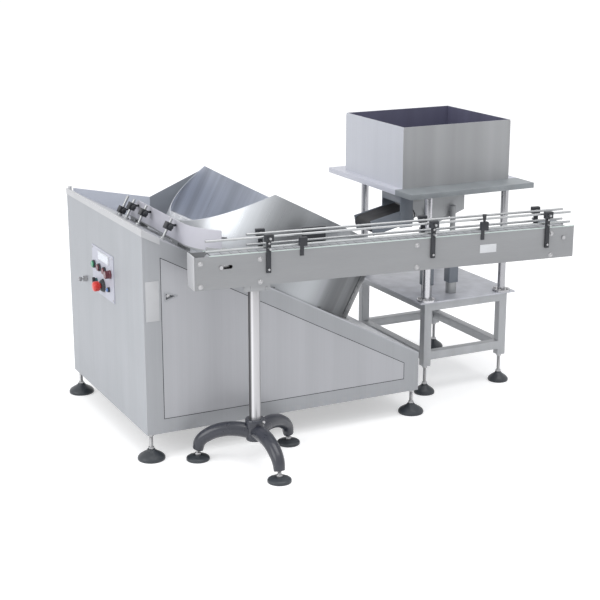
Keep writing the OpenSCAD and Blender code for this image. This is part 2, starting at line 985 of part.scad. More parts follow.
module lane_guard()
    color("whitesmoke")
        machine() {
            yz_plate([
                [lane_turn_y, line_z],
                [lane_start_y, line_z],
                [lane_start_y - guard_cut_l, line_z + guard_h],
                [lane_turn_y, line_z + guard_h]
            ], lane_x - sheet_t, lane_x);
            difference() {
                translate([0, 0, line_z])
                    linear_extrude(guard_h)
                        bend_plan(-sheet_t, 0);
                translate([0, 0, line_z - overrun])
                    linear_extrude(guard_lift + overrun)
                        conveyor_plan(guard_lift);
            }
        }

rail_bar_h = 12;
rail_bar_up = 34;
rail_post_w = 10;

module lane_rail()
    color(steel)
        machine() {
            in = lane_x + lane_w;
            translate([in, lane_turn_y, line_z + rail_bar_up])
                cube([2 * sheet_t, rotor_y - bridge_l / 2 - lane_turn_y, rail_bar_h]);
            difference() {
                translate([0, 0, line_z + rail_bar_up])
                    linear_extrude(rail_bar_h)
                        bend_plan(lane_w, lane_w + 2 * sheet_t);
                translate([0, 0, line_z])
                    linear_extrude(guard_h)
                        conveyor_plan(near_gap);
            }
            for (y = [lane_turn_y, rotor_y - bridge_l / 2 - rail_post_w])
                translate([in, y, line_z])
                    cube([2 * sheet_t, rail_post_w, rail_bar_up]);
        }

post_r = 6;
post_off = 64; // distance of the posts from the guard
guard_post_h = 92;
guard_post_x = lane_x - post_off;
guard_post_share = [0.093, 0.39, 0.54, 0.625];
clamp_w = 30;
clamp_n = [44, 44, 44, 10]; // heights of the clamps' undersides above the deck
arm_r = 5;

module at_guard_post(i)
    machine()
        translate([guard_post_x, cab_d * guard_post_share[i], deck_z(guard_post_x)])
            rotate([0, deck_tilt, 0])
                children();

module guard_posts()
    color(steel)
        for (i = [0 : len(clamp_n) - 1])
            at_guard_post(i) {
                cylinder(h = guard_post_h, r = post_r);
                ring(post_r, 2 * post_r, 0, track_t);
            }

// Clamp blocks on the posts, each with an arm that runs level to the guard
module guard_clamps()
    color("black")
        for (i = [0 : len(clamp_n) - 1]) {
            at_guard_post(i)
                translate([0, 0, clamp_n[i]])
                    difference() {
                        translate([-clamp_w / 2, -clamp_w / 2, 0])
                            cube([clamp_w, clamp_w, clamp_w]);
                        translate([0, 0, -overrun])
                            cylinder(h = clamp_w + 2 * overrun, r = post_r);
                    }
            machine() {
                mid = clamp_n[i] + clamp_w / 2;
                x = guard_post_x + mid * sin(deck_tilt) + post_r / cos(deck_tilt) + sheet_t;
                translate([x, cab_d * guard_post_share[i], deck_z(guard_post_x) + mid * cos(deck_tilt)])
                    rotate([0, 90, 0])
                        cylinder(h = lane_x - sheet_t - x, r = arm_r);
            }
        }

// Conveyor, in its own frame

strip_h = 3;
strip_out = 1; // how far the wear strips stand out past the side plates
plate_top = line_z - strip_h;
plate_low = plate_top - conv_h;
edge_gap = 1; // gap between the chain and the side plates
axle_z = line_z - chain_r;
idler_share = 0.063; // place of the idler shaft along the side plates
idler_u = conv_l * idler_share;
drive_u = conv_l - chain_r - edge_gap;
axle_d = 16;
axle_proud = 6;
take_up = 40; // length of the slot that lets the idler move
sprocket_r = chain_r - chain_t - near_gap;
chain_w = conv_w - 2 * plate_t - 2 * edge_gap;

module axle_cut()
    rotate([-90, 0, 0])
        cylinder(h = plate_t + 2 * overrun, d = axle_d + 2 * fit);

module side_plates()
    color(satin)
        on_conveyor()
            for (w = [0, conv_w - plate_t])
                difference() {
                    translate([0, w, plate_low])
                        cube([conv_l, plate_t, conv_h]);
                    translate([idler_u, w - overrun, axle_z]) {
                        axle_cut();
                        translate([take_up, 0, 0])
                            axle_cut();
                        translate([0, 0, -axle_d / 2 - fit])
                            cube([take_up, plate_t + 2 * overrun, axle_d + 2 * fit]);
                    }
                    translate([drive_u, w - overrun, axle_z])
                        axle_cut();
                }

strip_start = 60;
carry_w = 12;

// Caps on the side plates' upper edges, and the two rails that carry the chain
module wear_strips()
    color("honeydew")
        on_conveyor() {
            for (w = [-strip_out, conv_w - plate_t - edge_gap / 2])
                translate([strip_start, w, plate_top])
                    cube([conv_l - strip_start, plate_t + strip_out + edge_gap / 2, strip_h]);
            carry_low = tie_hi + tie_d / 2;
            for (w = [conv_w / 3, conv_w * 2 / 3])
                translate([idler_u + chain_r, w - carry_w / 2, carry_low])
                    cube([drive_u - idler_u - 2 * chain_r, carry_w, line_z - chain_t - near_gap - carry_low]);
        }

module loop(u, z, d, r, w0, w1)
    translate([u, w1, z])
        rotate([90, 0, 0])
            linear_extrude(w1 - w0)
                belt_outline(d, r, r, $fn = 96);

slat_gap = 1.5;
slat_n = floor((drive_u - idler_u) / slat_l);

module slat_chain()
    color("lightgray")
        on_conveyor()
            difference() {
                run = drive_u - idler_u;
                loop(idler_u, axle_z, run, chain_r, (conv_w - chain_w) / 2, (conv_w + chain_w) / 2);
                loop(idler_u, axle_z, run, chain_r - chain_t, 0, conv_w);
                for (i = [0 : slat_n - 1])
                    translate([idler_u + (i + 0.5) * slat_l, 0, line_z - chain_t / 2])
                        cube([slat_gap, conv_w, chain_t]);
            }

// A shaft with two toothed sprockets, from w0 to w1 across the conveyor
sprocket_t = 14;
sprocket_teeth = 14;
tooth_gap_r = 5;

module sprocket_shaft(u, w0, w1)
    on_conveyor()
        translate([u, 0, axle_z])
            rotate([-90, 0, 0]) {
                translate([0, 0, w0])
                    cylinder(h = w1 - w0, d = axle_d);
                for (w = [conv_w / 4, conv_w * 3 / 4 - sprocket_t])
                    translate([0, 0, w])
                        difference() {
                            cylinder(h = sprocket_t, r = sprocket_r);
                            for (i = [0 : sprocket_teeth - 1])
                                rotate([0, 0, i * 360 / sprocket_teeth])
                                    translate([sprocket_r, 0, -overrun])
                                        cylinder(h = sprocket_t + 2 * overrun, r = tooth_gap_r);
                        }
            }

module drive_shaft()
    color(steel)
        sprocket_shaft(drive_u, -axle_proud, conv_w + conv_box_w / 2);

module idler_shaft()
    color(steel)
        sprocket_shaft(idler_u, -axle_proud, conv_w + axle_proud);

end_t = 6;
end_proud = 4;

module end_plate()
    color("white")
        on_conveyor()
            translate([-end_t, 0, plate_low])
                cube([end_t, conv_w, conv_h + end_proud]);

conv_box_w = 90;
conv_motor_r = 42;
conv_motor_l = 170;

module conveyor_motor()
    color("slategray")
        on_conveyor()
            difference() {
                union() {
                    translate([drive_u - conv_motor_r, conv_w, plate_low])
                        cube([2 * conv_motor_r, conv_box_w, conv_h - strip_h]);
                    translate([drive_u - conv_motor_r, conv_w + conv_box_w / 2, plate_low + conv_motor_r])
                        rotate([0, -90, 0])
                            cylinder(h = conv_motor_l, r = conv_motor_r);
                }
                translate([drive_u, conv_w - overrun, axle_z])
                    rotate([-90, 0, 0])
                        cylinder(h = conv_box_w / 2 + near_gap + overrun, d = axle_d + 2 * fit);
            }

// Round ties between the side plates, with their bolt heads
tie_d = 14;
tie_share = [0.013, 0.159, 0.563, 0.935];
tie_drop = 26;
tie_rise = 15;
tie_hi = plate_top - tie_drop;
tie_lo = plate_low + tie_rise;

module cross_ties()
    color(steel)
        on_conveyor()
            for (s = tie_share)
                for (z = [tie_hi, tie_lo]) {
                    translate([conv_l * s, plate_t, z])
                        rotate([-90, 0, 0])
                            cylinder(h = conv_w - 2 * plate_t, d = tie_d);
                    translate([conv_l * s, 0, z])
                        rotate([90, 0, 0])
                            bolt_head();
                    translate([conv_l * s, conv_w, z])
                        rotate([-90, 0, 0])
                            bolt_head();
                }

// Brackets that carry the guide rods: a bar on the side plate, with a bore for each arm
bracket_share = [0.179, 0.604, 0.921];
bracket_w = 18;
bracket_t = 10;
bracket_drop = 84;
bracket_rise = 14;
bracket_short = 44; // how far the rear brackets reach down
arm_l = 46;
rail_in = 14; // distance of a rod's centre from the side plate's outer face

module bracket(out, drop)
    for (s = bracket_share)
        translate([conv_l * s, out > 0 ? conv_w : 0, 0])
            difference() {
                union() {
                    translate([-bracket_w / 2, out > 0 ? 0 : -bracket_t, plate_top - drop])
                        cube([bracket_w, bracket_t, drop + strip_h + rod_hi + bracket_rise]);
                    translate([-bracket_w, out > 0 ? 0 : -2 * bracket_t, line_z + rod_hi - bracket_rise])
                        cube([2 * bracket_w, 2 * bracket_t, 2 * bracket_rise]);
                }
                for (h = [rod_hi, rod_lo])
                    translate([0, -out * overrun, line_z + h])
                        rotate([-90 * out, 0, 0])
                            cylinder(h = 2 * bracket_t + 2 * overrun, d = rod_d + 2 * fit);
                translate([-bracket_w, out > 0 ? -overrun : -strip_out - near_gap, plate_top - near_gap])
                    cube([2 * bracket_w, strip_out + near_gap + overrun, strip_h + 2 * near_gap]);
            }

module rail_brackets()
    color("black")
        on_conveyor() {
            bracket(-1, bracket_drop);
            bracket(1, bracket_short);
        }

front_start_share = 0.028;
back_start_share = 0.14;
rod_end = 14;

module rails(w, start, out)
    on_conveyor()
        for (h = [rod_hi, rod_lo]) {
            translate([start, w, line_z + h])
                rotate([0, 90, 0])
                    cylinder(h = conv_l - rod_end - start, d = rod_d);
            for (s = bracket_share)
                translate([conv_l * s, w, line_z + h])
                    rotate([-90 * out, 0, 0])
                        cylinder(h = arm_l, d = rod_d);
        }

module front_rails()
    color("gainsboro")
        rails(rail_in, conv_l * front_start_share, -1);

module back_rails()
    color("gainsboro")
        rails(conv_w - rail_in, conv_l * back_start_share, 1);

// Two sensors on the front plate and a reflector on the back one
sensor_share = [0.263, 0.74];
sensor_w = 32;
sensor_t = 20;
sensor_foot_t = 4;
reflector_share = 0.283;
reflector_l = 104;
reflector_h = 62;

module sensors()
    color(black)
        on_conveyor() {
            for (s = sensor_share)
                translate([conv_l * s, 0, 0]) {
                    translate([-sensor_w / 2, -sensor_t - sensor_foot_t, line_z + rod_lo])
                        cube([sensor_w, sensor_t, sensor_w + sensor_foot_t]);
                    translate([-sensor_w / 4, -sensor_foot_t, tie_hi])
                        cube([sensor_w / 2, sensor_foot_t - strip_out, line_z + rod_lo + sensor_w - tie_hi]);
                    translate([-sensor_w / 4, -strip_out, tie_hi])
                        cube([sensor_w / 2, strip_out, plate_top - near_gap - tie_hi]);
                }
            knob_z = line_z + rod_lo + sensor_w + sensor_foot_t;
            translate([conv_l * sensor_share[1], -sensor_foot_t - sensor_t / 2, knob_z])
                cylinder(h = sensor_w, d1 = sensor_t / 2, d2 = sensor_t * 0.9);
            translate([conv_l * reflector_share, conv_w + strip_out, tie_hi])
                cube([reflector_l, sheet_t, line_z + reflector_h - tie_hi]);
            translate([conv_l * reflector_share, conv_w, tie_hi])
                cube([reflector_l, strip_out, plate_top - near_gap - tie_hi]);
        }

// Stand of the conveyor
head_l = 110;
head_t = 6;
head_lip = 22;
base_hub_d = 78;
base_hub_low = 104;
base_hub_h = 70;
leg_w = 50;
leg_h = 50;
leg_drop = 58;
leg_tip_h = 52;
leg_angles = [leg_turn, leg_turn + 120, leg_turn + 240];

module on_stand()
    machine()
        translate([stand_x, stand_y, 0])
            children();

module stand_column()
    color(steel) {
        on_stand()
            translate([0, 0, base_hub_low])
                cylinder(h = plate_low - base_hub_low - head_t, d = post_d);
        on_conveyor() {
            u = post_u - head_l / 2;
            translate([u, 0, plate_low - head_t])
                cube([head_l, conv_w, head_t]);
            for (w = [0, conv_w - plate_t])
                translate([u, w, plate_low - head_lip])
                    cube([head_l, plate_t, head_lip - head_t]);
            translate([post_u + head_l / 2 - bolt_head_d, 0, plate_low - (head_lip + head_t) / 2])
                rotate([90, 0, 0])
                    bolt_head();
        }
    }

// Side view of a leg: it leaves the hub level and bends down to its foot
leg_steps = 16;
function leg_curve(side, rise) = [
    for (i = [0 : leg_steps])
        let (a = 90 * i / leg_steps, r = post_d / 2)
            [r + (leg_reach + side * leg_w / 2 - r) * sin(a), leg_tip_h + rise * cos(a)]
];
function backwards(points) = [for (i = [len(points) - 1 : -1 : 0]) points[i]];

module stand_base()
    color("darkslategray")
        on_stand()
            difference() {
                union() {
                    translate([0, 0, base_hub_low])
                        cylinder(h = base_hub_h, d = base_hub_d);
                    for (a = leg_angles)
                        rotate([0, 0, a])
                            xz_plate(concat(
                                leg_curve(1, leg_drop + leg_h),
                                backwards(leg_curve(-1, leg_drop))
                            ), -leg_w / 2, leg_w / 2);
                }
                cylinder(h = plate_low, d = post_d);
            }

// The arm that carries the conveyor's right half from the table's front left column
arm_w = 30;
arm_plate_t = 6;
arm_plate_l = 90;
arm_clamp_w = 60;

module conveyor_arm()
    color(steel) {
        machine() {
            x = table_x - mast_in;
            y = table_y - mast_in;
            difference() {
                translate([x - arm_clamp_w / 2, y - arm_clamp_w / 2, plate_low])
                    cube([arm_clamp_w, arm_clamp_w, arm_w]);
                translate([x, y, plate_low - overrun])
                    cylinder(h = arm_w + 2 * overrun, d = mast_d);
            }
            difference() {
                translate([x - arm_w / 2, -conv_l / 2, plate_low])
                    cube([arm_w, conv_l / 2 + y - arm_clamp_w / 2, arm_w]);
                translate([0, 0, plate_low - overrun])
                    linear_extrude(arm_w + 2 * overrun)
                        conveyor_plan(arm_plate_t);
            }
        }
        on_conveyor() {
            u = (table_x - mast_in - conv_x) / cos(conv_yaw) - arm_plate_l / 2 + conv_h * sin(conv_yaw);
            translate([u, conv_w, plate_low])
                cube([arm_plate_l, arm_plate_t, 2 * arm_w]);
        }
    }

// Hopper stand
shelf_over = 34; // how far the lower plate stands out past the legs
shelf_t = 8;
brace_up = 30;
mast_in = 6; // how far the columns stand inside the feet's centres
flange_d = 84;
flange_t = 10;
flange_ring_d = 62;
flange_screw_d = 9;

module at_table_legs()
    for (x = [table_x, table_x + table_w])
        for (y = [table_y, table_y + table_d])
            translate([x, y, 0])
                children();

module table_frame()
    color(steel)
        machine() {
            half = tube_w / 2;
            top = shelf_z - shelf_t;
            at_table_legs()
                translate([-half, -half, table_foot_h]) {
                    tube_z(top - table_foot_h);
                    leg_plug();
                }
            for (z = [table_foot_h + brace_up, top - tube_w]) {
                for (y = [table_y - half, table_y + table_d - half])
                    translate([table_x + half, y, z])
                        tube_x(table_w - tube_w);
                for (x = [table_x - half, table_x + table_w - half])
                    translate([x, table_y + half, z])
                        tube_y(table_d - tube_w);
            }
            translate([table_x - half - shelf_over, table_y - half - shelf_over / 2, top])
                cube([table_w + tube_w + 2 * shelf_over, table_d + tube_w + shelf_over, shelf_t]);
        }

module at_masts()
    for (x = [table_x - mast_in, table_x + table_w - mast_in])
        for (y = [table_y - mast_in, table_y + table_d - mast_in])
            translate([x, y, shelf_z])
                children();

module table_masts()
    color(steel)
        machine()
            at_masts() {
                h = tray_z - tray_t - shelf_z;
                cylinder(h = h, d = mast_d);
                cylinder(h = flange_t, d = flange_d);
                translate([0, 0, h - flange_t])
                    cylinder(h = flange_t, d = flange_d);
                for (a = [45 : 90 : 315])
                    rotate([0, 0, a])
                        translate([flange_ring_d / 2, 0, flange_t])
                            cylinder(h = bolt_head_h, d = flange_screw_d, $fn = 6);
            }

tray_wall = 3;
tray_off_y = 5;
tray_x = table_x + (table_w - tray_l) / 2 + tray_off_x;
tray_y = table_y + (table_d - tray_d) / 2 + tray_off_y;
tray_low = tray_z - tray_t;
hopper_in_x = 40;
hopper_in_y = 137;
hopper_x = tray_x + hopper_in_x;
hopper_y = tray_y + hopper_in_y;
outlet_share = 0.16; // place of the outlet along the hopper
outlet_l_share = 0.47;
outlet_x = hopper_x + hopper_l * outlet_share;
outlet_l = hopper_l * outlet_l_share;
feeder_in = 130;
feeder_y = hopper_y + feeder_in;
outlet_y = feeder_y - feeder_w / 2;

module tray()
    color(steel)
        machine()
            difference() {
                translate([tray_x, tray_y, tray_low])
                    cube([tray_l, tray_d, tray_t]);
                translate([outlet_x, outlet_y, tray_low - overrun])
                    cube([outlet_l, feeder_w, tray_t + 2 * overrun]);
                difference() {
                    translate([tray_x + tray_wall, tray_y + tray_wall, tray_low - overrun])
                        cube([tray_l - 2 * tray_wall, tray_d - 2 * tray_wall, tray_t + overrun - tray_wall]);
                    tray_pads();
                }
            }

// Blocks under the tray where the columns, the gate and the chute meet it
module tray_pads() {
    at_masts()
        translate([-flange_d / 2, -flange_d / 2, tray_low - shelf_z])
            cube([flange_d, flange_d, tray_t]);
    translate([gate_x - tray_t, feeder_y - chute_w / 2 - tray_t, tray_low])
        cube([outlet_x + outlet_l - gate_x + 2 * tray_t, chute_w + 2 * tray_t, tray_t]);
}

hopper_t = 3;
hopper_slope_h = 110;

// A funnel's outer shape, from the outlet up to the hopper's walls, drawn in by m
module funnel(m)
    intersection() {
        top = tray_z + hopper_slope_h;
        xz_plate([
            [outlet_x + m, tray_z],
            [outlet_x + outlet_l - m, tray_z],
            [hopper_x + hopper_l - m, top],
            [hopper_x + m, top]
        ], hopper_y, hopper_y + hopper_d);
        yz_plate([
            [outlet_y + m, tray_z],
            [outlet_y + feeder_w - m, tray_z],
            [hopper_y + hopper_d - m, top],
            [hopper_y + m, top]
        ], hopper_x, hopper_x + hopper_l);
    }

module hopper()
    color("lightsteelblue")
        machine() {
            difference() {
                translate([hopper_x, hopper_y, tray_z])
                    cube([hopper_l, hopper_d, hopper_h]);
                translate([hopper_x + hopper_t, hopper_y + hopper_t, tray_z - overrun])
                    cube([hopper_l - 2 * hopper_t, hopper_d - 2 * hopper_t, hopper_h + 2 * overrun]);
            }
            difference() {
                funnel(0);
                funnel(hopper_t);
            }
        }

// Feeder. on_feeder's X runs up the belt from the head roller to the tail roller
roller_r = 26;
roller_shaft_d = 12;
belt_wall = 4;
frame_t = 5;
frame_h = 70;
frame_tail = 16; // how far the feeder's side plates run past the tail roller's axis
roller_gap = 1;
feeder_out = 64; // how far the head roller's axis lies outside the tray
feeder_drop = 177; // depth of the head roller's axis below the tray's top
feeder_z = tray_z - feeder_drop;
feeder_x = tray_x - feeder_out;
tail_x = feeder_x + feeder_l * cos(feeder_tilt);
tail_z = feeder_z + feeder_l * sin(feeder_tilt);

module on_feeder()
    machine()
        translate([feeder_x, feeder_y, feeder_z])
            rotate([0, -feeder_tilt, 0])
                children();

gate_l = 66;
gate_in = 10; // how far the gate reaches past the tail roller's axis
gate_t = 7;
gate_drop = 192; // depth of the gate's lower end below the tray's top
gate_low = tray_z - gate_drop;
mouth_drop = 78; // depth of the curtain's lower edge below the tray's top
gate_mouth = tray_z - mouth_drop;
gate_x = tail_x + gate_in - gate_l;
chute_t = 3;
chute_w = feeder_w + 2 * (frame_t + gate_t);
chute_x = tail_x + gate_in;
chute_end = outlet_x + outlet_l;
chute_lip = 3; // height of the chute's floor above the belt
chute_floor_z = tail_z + roller_r + belt_wall + chute_lip;
chute_foot_in = 60;
chute_foot_x = chute_x + chute_foot_in;
chute_foot_drop = 213;
chute_foot_z = tray_z - chute_foot_drop;
chute_post_d = 26;
chute_post_share = [0.26, 0.74];
post_in = 18;
sleeve_d = 50;
sleeve_h = 54;
post_clamp_w = 48;
post_clamp_h = 82;

module at_chute_posts()
    machine()
        for (s = chute_post_share)
            translate([chute_x + (chute_end - chute_x) * s, feeder_y - chute_w / 2 - post_in, shelf_z])
                children();

module feed_chute()
    color("lightgray") {
        machine() {
            for (y = [feeder_y - chute_w / 2, feeder_y + chute_w / 2 - chute_t])
                xz_plate([
                    [chute_x, tray_low],
                    [chute_x, chute_floor_z],
                    [chute_foot_x, chute_foot_z],
                    [chute_end, chute_foot_z + head_h],
                    [chute_end, tray_low]
                ], y, y + chute_t);
            xz_plate([
                [chute_x, chute_floor_z],
                [chute_end, tray_low - tray_t],
                [chute_end, tray_low - tray_t + chute_t],
                [chute_x, chute_floor_z + chute_t]
            ], feeder_y - chute_w / 2 + chute_t, feeder_y + chute_w / 2 - chute_t);
        }
        at_chute_posts() {
            h = chute_foot_z + head_h + chute_post_d - shelf_z;
            cylinder(h = h, d = chute_post_d);
            cylinder(h = sleeve_h, d = sleeve_d);
            translate([-chute_post_d / 2, 0, h - chute_post_d])
                cube([chute_post_d, post_in, chute_post_d]);
        }
    }

// The feeder's side plates, the gate over the belt and the clamps on the chute's posts
module feeder()
    color("darkslategray") {
        on_feeder()
            for (w = [-feeder_w / 2 - frame_t, feeder_w / 2])
                difference() {
                    translate([-roller_r, w, -frame_h / 2])
                        cube([feeder_l + roller_r + frame_tail, frame_t, frame_h]);
                    for (x = [0, feeder_l])
                        translate([x, w - overrun, 0])
                            rotate([-90, 0, 0])
                                cylinder(h = frame_t + 2 * overrun, d = roller_shaft_d + 2 * fit);
                }
        machine() {
            for (y = [feeder_y - chute_w / 2, feeder_y + chute_w / 2 - gate_t])
                translate([gate_x, y, gate_low])
                    cube([gate_l, gate_t, tray_low - gate_low]);
            translate([gate_x, feeder_y - chute_w / 2 + gate_t, gate_mouth])
                cube([gate_t, chute_w - 2 * gate_t, tray_low - gate_mouth]);
        }
        at_chute_posts()
            translate([0, 0, sleeve_h])
                difference() {
                    translate([-post_clamp_w / 2, -post_clamp_w / 2, 0])
                        cube([post_clamp_w, post_clamp_w, post_clamp_h]);
                    translate([0, 0, -overrun])
                        cylinder(h = post_clamp_h + 2 * overrun, d = chute_post_d);
                }
    }

module feed_belt()
    color("black")
        on_feeder()
            difference() {
                half = feeder_w / 2;
                inner_r = roller_r + near_gap;
                loop(0, 0, feeder_l, inner_r + belt_wall, roller_gap - half, half - roller_gap);
                loop(0, 0, feeder_l, inner_r, -half, half);
            }

module roller(x)
    color(steel)
        on_feeder()
            translate([x, -feeder_w / 2 - frame_t, 0])
                rotate([-90, 0, 0]) {
                    cylinder(h = feeder_w + 2 * frame_t, d = roller_shaft_d);
                    translate([0, 0, frame_t + roller_gap])
                        cylinder(h = feeder_w - 2 * roller_gap, r = roller_r);
                }

module head_roller() roller(0);

module tail_roller() roller(feeder_l);

base_frame();
left_panel();
plain_panels();
front_fascia();
service_door();
door_pull();
door_latch();
column_plate();
deck();
deck_rim();
back_guard();
levelling_feet();
control_plate();
display_window();
start_button();
stop_button();
jog_button();
speed_knob();
selector_switch();
estop_button();
bezels();
key_lock();
drum_shell();
slide_ring();
pocket_disc();
disc_cone();
rotor_shaft();
bearing_unit();
rotor_pulley();
drive_belt();
motor_pulley();
gear_motors();
lane_plate();
lane_guard();
lane_rail();
guard_posts();
guard_clamps();
side_plates();
wear_strips();
slat_chain();
drive_shaft();
idler_shaft();
end_plate();
cross_ties();
rail_brackets();
front_rails();
back_rails();
sensors();
stand_column();
stand_base();
conveyor_arm();
table_frame();
table_masts();
tray();
hopper();
feed_chute();
feeder();
feed_belt();
head_roller();
tail_roller();
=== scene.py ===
import math
import bpy
from mathutils import Matrix, Vector


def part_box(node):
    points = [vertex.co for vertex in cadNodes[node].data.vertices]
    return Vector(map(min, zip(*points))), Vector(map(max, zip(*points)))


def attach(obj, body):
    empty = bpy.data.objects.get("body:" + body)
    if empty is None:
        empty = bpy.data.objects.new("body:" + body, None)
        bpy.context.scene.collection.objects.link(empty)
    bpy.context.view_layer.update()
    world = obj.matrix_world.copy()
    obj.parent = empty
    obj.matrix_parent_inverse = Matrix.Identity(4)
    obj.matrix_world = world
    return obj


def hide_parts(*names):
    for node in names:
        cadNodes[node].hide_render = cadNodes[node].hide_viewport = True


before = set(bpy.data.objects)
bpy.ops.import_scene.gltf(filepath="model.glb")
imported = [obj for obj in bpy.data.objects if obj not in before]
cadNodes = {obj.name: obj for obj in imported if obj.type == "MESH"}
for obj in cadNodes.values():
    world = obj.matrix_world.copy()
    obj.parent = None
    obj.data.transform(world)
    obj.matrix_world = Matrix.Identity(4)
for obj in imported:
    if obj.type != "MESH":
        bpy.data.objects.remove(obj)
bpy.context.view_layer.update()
scene = bpy.context.scene

# Where the machine's own frames lie, in millimetres from the cabinet's front left corner on the floor
layout = {
    "origin": (968.25, 266.112),   # the shared frame's zero
    "cabinetTop": 980, "cabinetLow": 289, "cabinetLength": 1300, "cabinetDepth": 980,
    "rotor": (706, 490),
    "panelCentre": (494, 692),   # of the control plate, as a depth and a height
    "conveyorStart": (139, -212), "conveyorTurn": 6.4, "conveyorLength": 1689.53, "conveyorWidth": 92,
    "line": 903,   # top of the chain
    "stand": (398.53, -194.82),
}
tilt = math.atan((layout["cabinetTop"] - layout["cabinetLow"]) / layout["cabinetLength"])


def at(x, y, z):
    return Vector(((x - layout["origin"][0]) / 1000, (y - layout["origin"][1]) / 1000, z / 1000))


def shifted(x=0, y=0, z=0):
    return Matrix.Translation((x / 1000, y / 1000, z / 1000))


def turnedBy(angle, axis):
    return Matrix.Rotation(math.radians(angle), 4, axis)


def onFloor(x, y, z=0):
    return Matrix.Translation(at(x, y, z))


def onDeck(x, y):
    # On the deck, with Z square to it
    height = layout["cabinetTop"] - x * math.tan(tilt)
    return onFloor(x, y, height) @ Matrix.Rotation(tilt, 4, "Y")


deckFrame = onDeck(*layout["rotor"])
standFrame = onFloor(*layout["stand"])
conveyorFrame = onFloor(*layout["conveyorStart"]) @ turnedBy(-layout["conveyorTurn"], "Z")


def onConveyor(u, w, z):
    return conveyorFrame @ shifted(u, w, z)


def onPanel(y, z, out=0):
    # On the left panel, with Z out of it
    return onFloor(-out, y, z) @ turnedBy(-90, "Y")


# Camera and light

camera = {
    "place": (-2.80025, -5.34580, 2.19525), "down": 15.62, "right": 26.52,
    "lens": 83.17, "sensor": 36, "reach": 100,
}
aim = (math.radians(90 - camera["down"]), 0, -math.radians(camera["right"]))
bpy.ops.object.camera_add(location=camera["place"], rotation=aim)
scene.camera = bpy.context.object
scene.camera.data.lens = camera["lens"]
scene.camera.data.sensor_width = camera["sensor"]
scene.camera.data.clip_end = camera["reach"]
scene.view_settings.view_transform = "Standard"

studio = {
    "leftLamp": {"place": (-9.0, -1.0, 5.0), "size": 6.0, "power": 270},
    "topLamp": {"place": (0.4, -1.6, 6.2), "size": 4.6, "power": 150},
    "lampAim": (0.1, 0, 0.6),
    "room": (0.97, 0.98, 1.0), "worldDim": 0.58, "worldBright": 0.96,
    "fromLeft": -0.55, "fromAbove": 0.30, "between": 0.45,   # where the room is bright
    "floorSize": 400, "floorSquares": 12, "floorColour": 0.80, "floorGlow": 0.42,
}


def softLamp(name):
    spec = studio[name]
    bpy.ops.object.light_add(type="AREA", location=spec["place"])
    lamp = bpy.context.object
    lamp.name = name
    lamp.data.shape = "SQUARE"
    lamp.data.size = spec["size"]
    lamp.data.energy = spec["power"]
    away = Vector(studio["lampAim"]) - lamp.location
    lamp.rotation_euler = away.to_track_quat("-Z", "Y").to_euler()


def link(tree, out, into):
    tree.links.new(out, into)


def mathIn(tree, kind, *values):
    node = tree.nodes.new("ShaderNodeMath")
    node.operation = kind
    for socket, value in zip(node.inputs, values):
        if isinstance(value, (int, float)):
            socket.default_value = value
        else:
            link(tree, value, socket)
    return node.outputs[0]


def emptyTree(owner):
    owner.use_nodes = True
    owner.node_tree.nodes.clear()
    return owner.node_tree


def plainRays(tree):
    # 1 for the camera's, glossy and transmission rays, which find the background white
    rays = tree.nodes.new("ShaderNodeLightPath")
    seen = mathIn(tree, "MAXIMUM", rays.outputs["Is Camera Ray"], rays.outputs["Is Glossy Ray"])
    return mathIn(tree, "MAXIMUM", seen, rays.outputs["Is Transmission Ray"])


def paleRoom():
    # The room is brighter above and to the left
    world = bpy.data.worlds.new("paleRoom")
    scene.world = world
    tree = emptyTree(world)
    place = tree.nodes.new("ShaderNodeTexCoord")
    parts = tree.nodes.new("ShaderNodeSeparateXYZ")
    link(tree, place.outputs["Generated"], parts.inputs[0])
    lean = mathIn(tree, "MULTIPLY_ADD", parts.outputs["X"], studio["fromLeft"], studio["between"])
    lift = mathIn(tree, "MULTIPLY_ADD", parts.outputs["Z"], studio["fromAbove"], lean)
    level = tree.nodes.new("ShaderNodeMapRange")
    level.inputs["To Min"].default_value = studio["worldDim"]
    level.inputs["To Max"].default_value = studio["worldBright"]
    link(tree, lift, level.inputs["Value"])
    room = tree.nodes.new("ShaderNodeBackground")
    room.inputs["Color"].default_value = studio["room"] + (1,)
    link(tree, level.outputs[0], room.inputs["Strength"])
    white = tree.nodes.new("ShaderNodeBackground")
    white.inputs["Color"].default_value = (1, 1, 1, 1)
    pick = tree.nodes.new("ShaderNodeMixShader")
    link(tree, plainRays(tree), pick.inputs[0])
    link(tree, room.outputs[0], pick.inputs[1])
    link(tree, white.outputs[0], pick.inputs[2])
    out = tree.nodes.new("ShaderNodeOutputWorld")
    link(tree, pick.outputs[0], out.inputs[0])


def paleFloor():
    bpy.ops.object.select_all(action="DESELECT")
    squares = studio["floorSquares"]
    bpy.ops.mesh.primitive_grid_add(x_subdivisions=squares, y_subdivisions=squares, size=studio["floorSize"])
    floor = bpy.context.object
    floor.name = "studioFloor"
    paint = bpy.data.materials.new("studioFloor")
    tree = emptyTree(paint)
    matte = tree.nodes.new("ShaderNodeBsdfDiffuse")
    matte.inputs["Color"].default_value = (studio["floorColour"],) * 3 + (1,)
    glow = tree.nodes.new("ShaderNodeEmission")
    link(tree, mathIn(tree, "MULTIPLY", plainRays(tree), studio["floorGlow"]), glow.inputs["Strength"])
    both = tree.nodes.new("ShaderNodeAddShader")
    link(tree, matte.outputs[0], both.inputs[0])
    link(tree, glow.outputs[0], both.inputs[1])
    out = tree.nodes.new("ShaderNodeOutputMaterial")
    link(tree, both.outputs[0], out.inputs[0])
    floor.data.materials.append(paint)


softLamp("leftLamp")
softLamp("topLamp")
paleRoom()
paleFloor()
print("camera, lamps and floor ready")

# Finishes


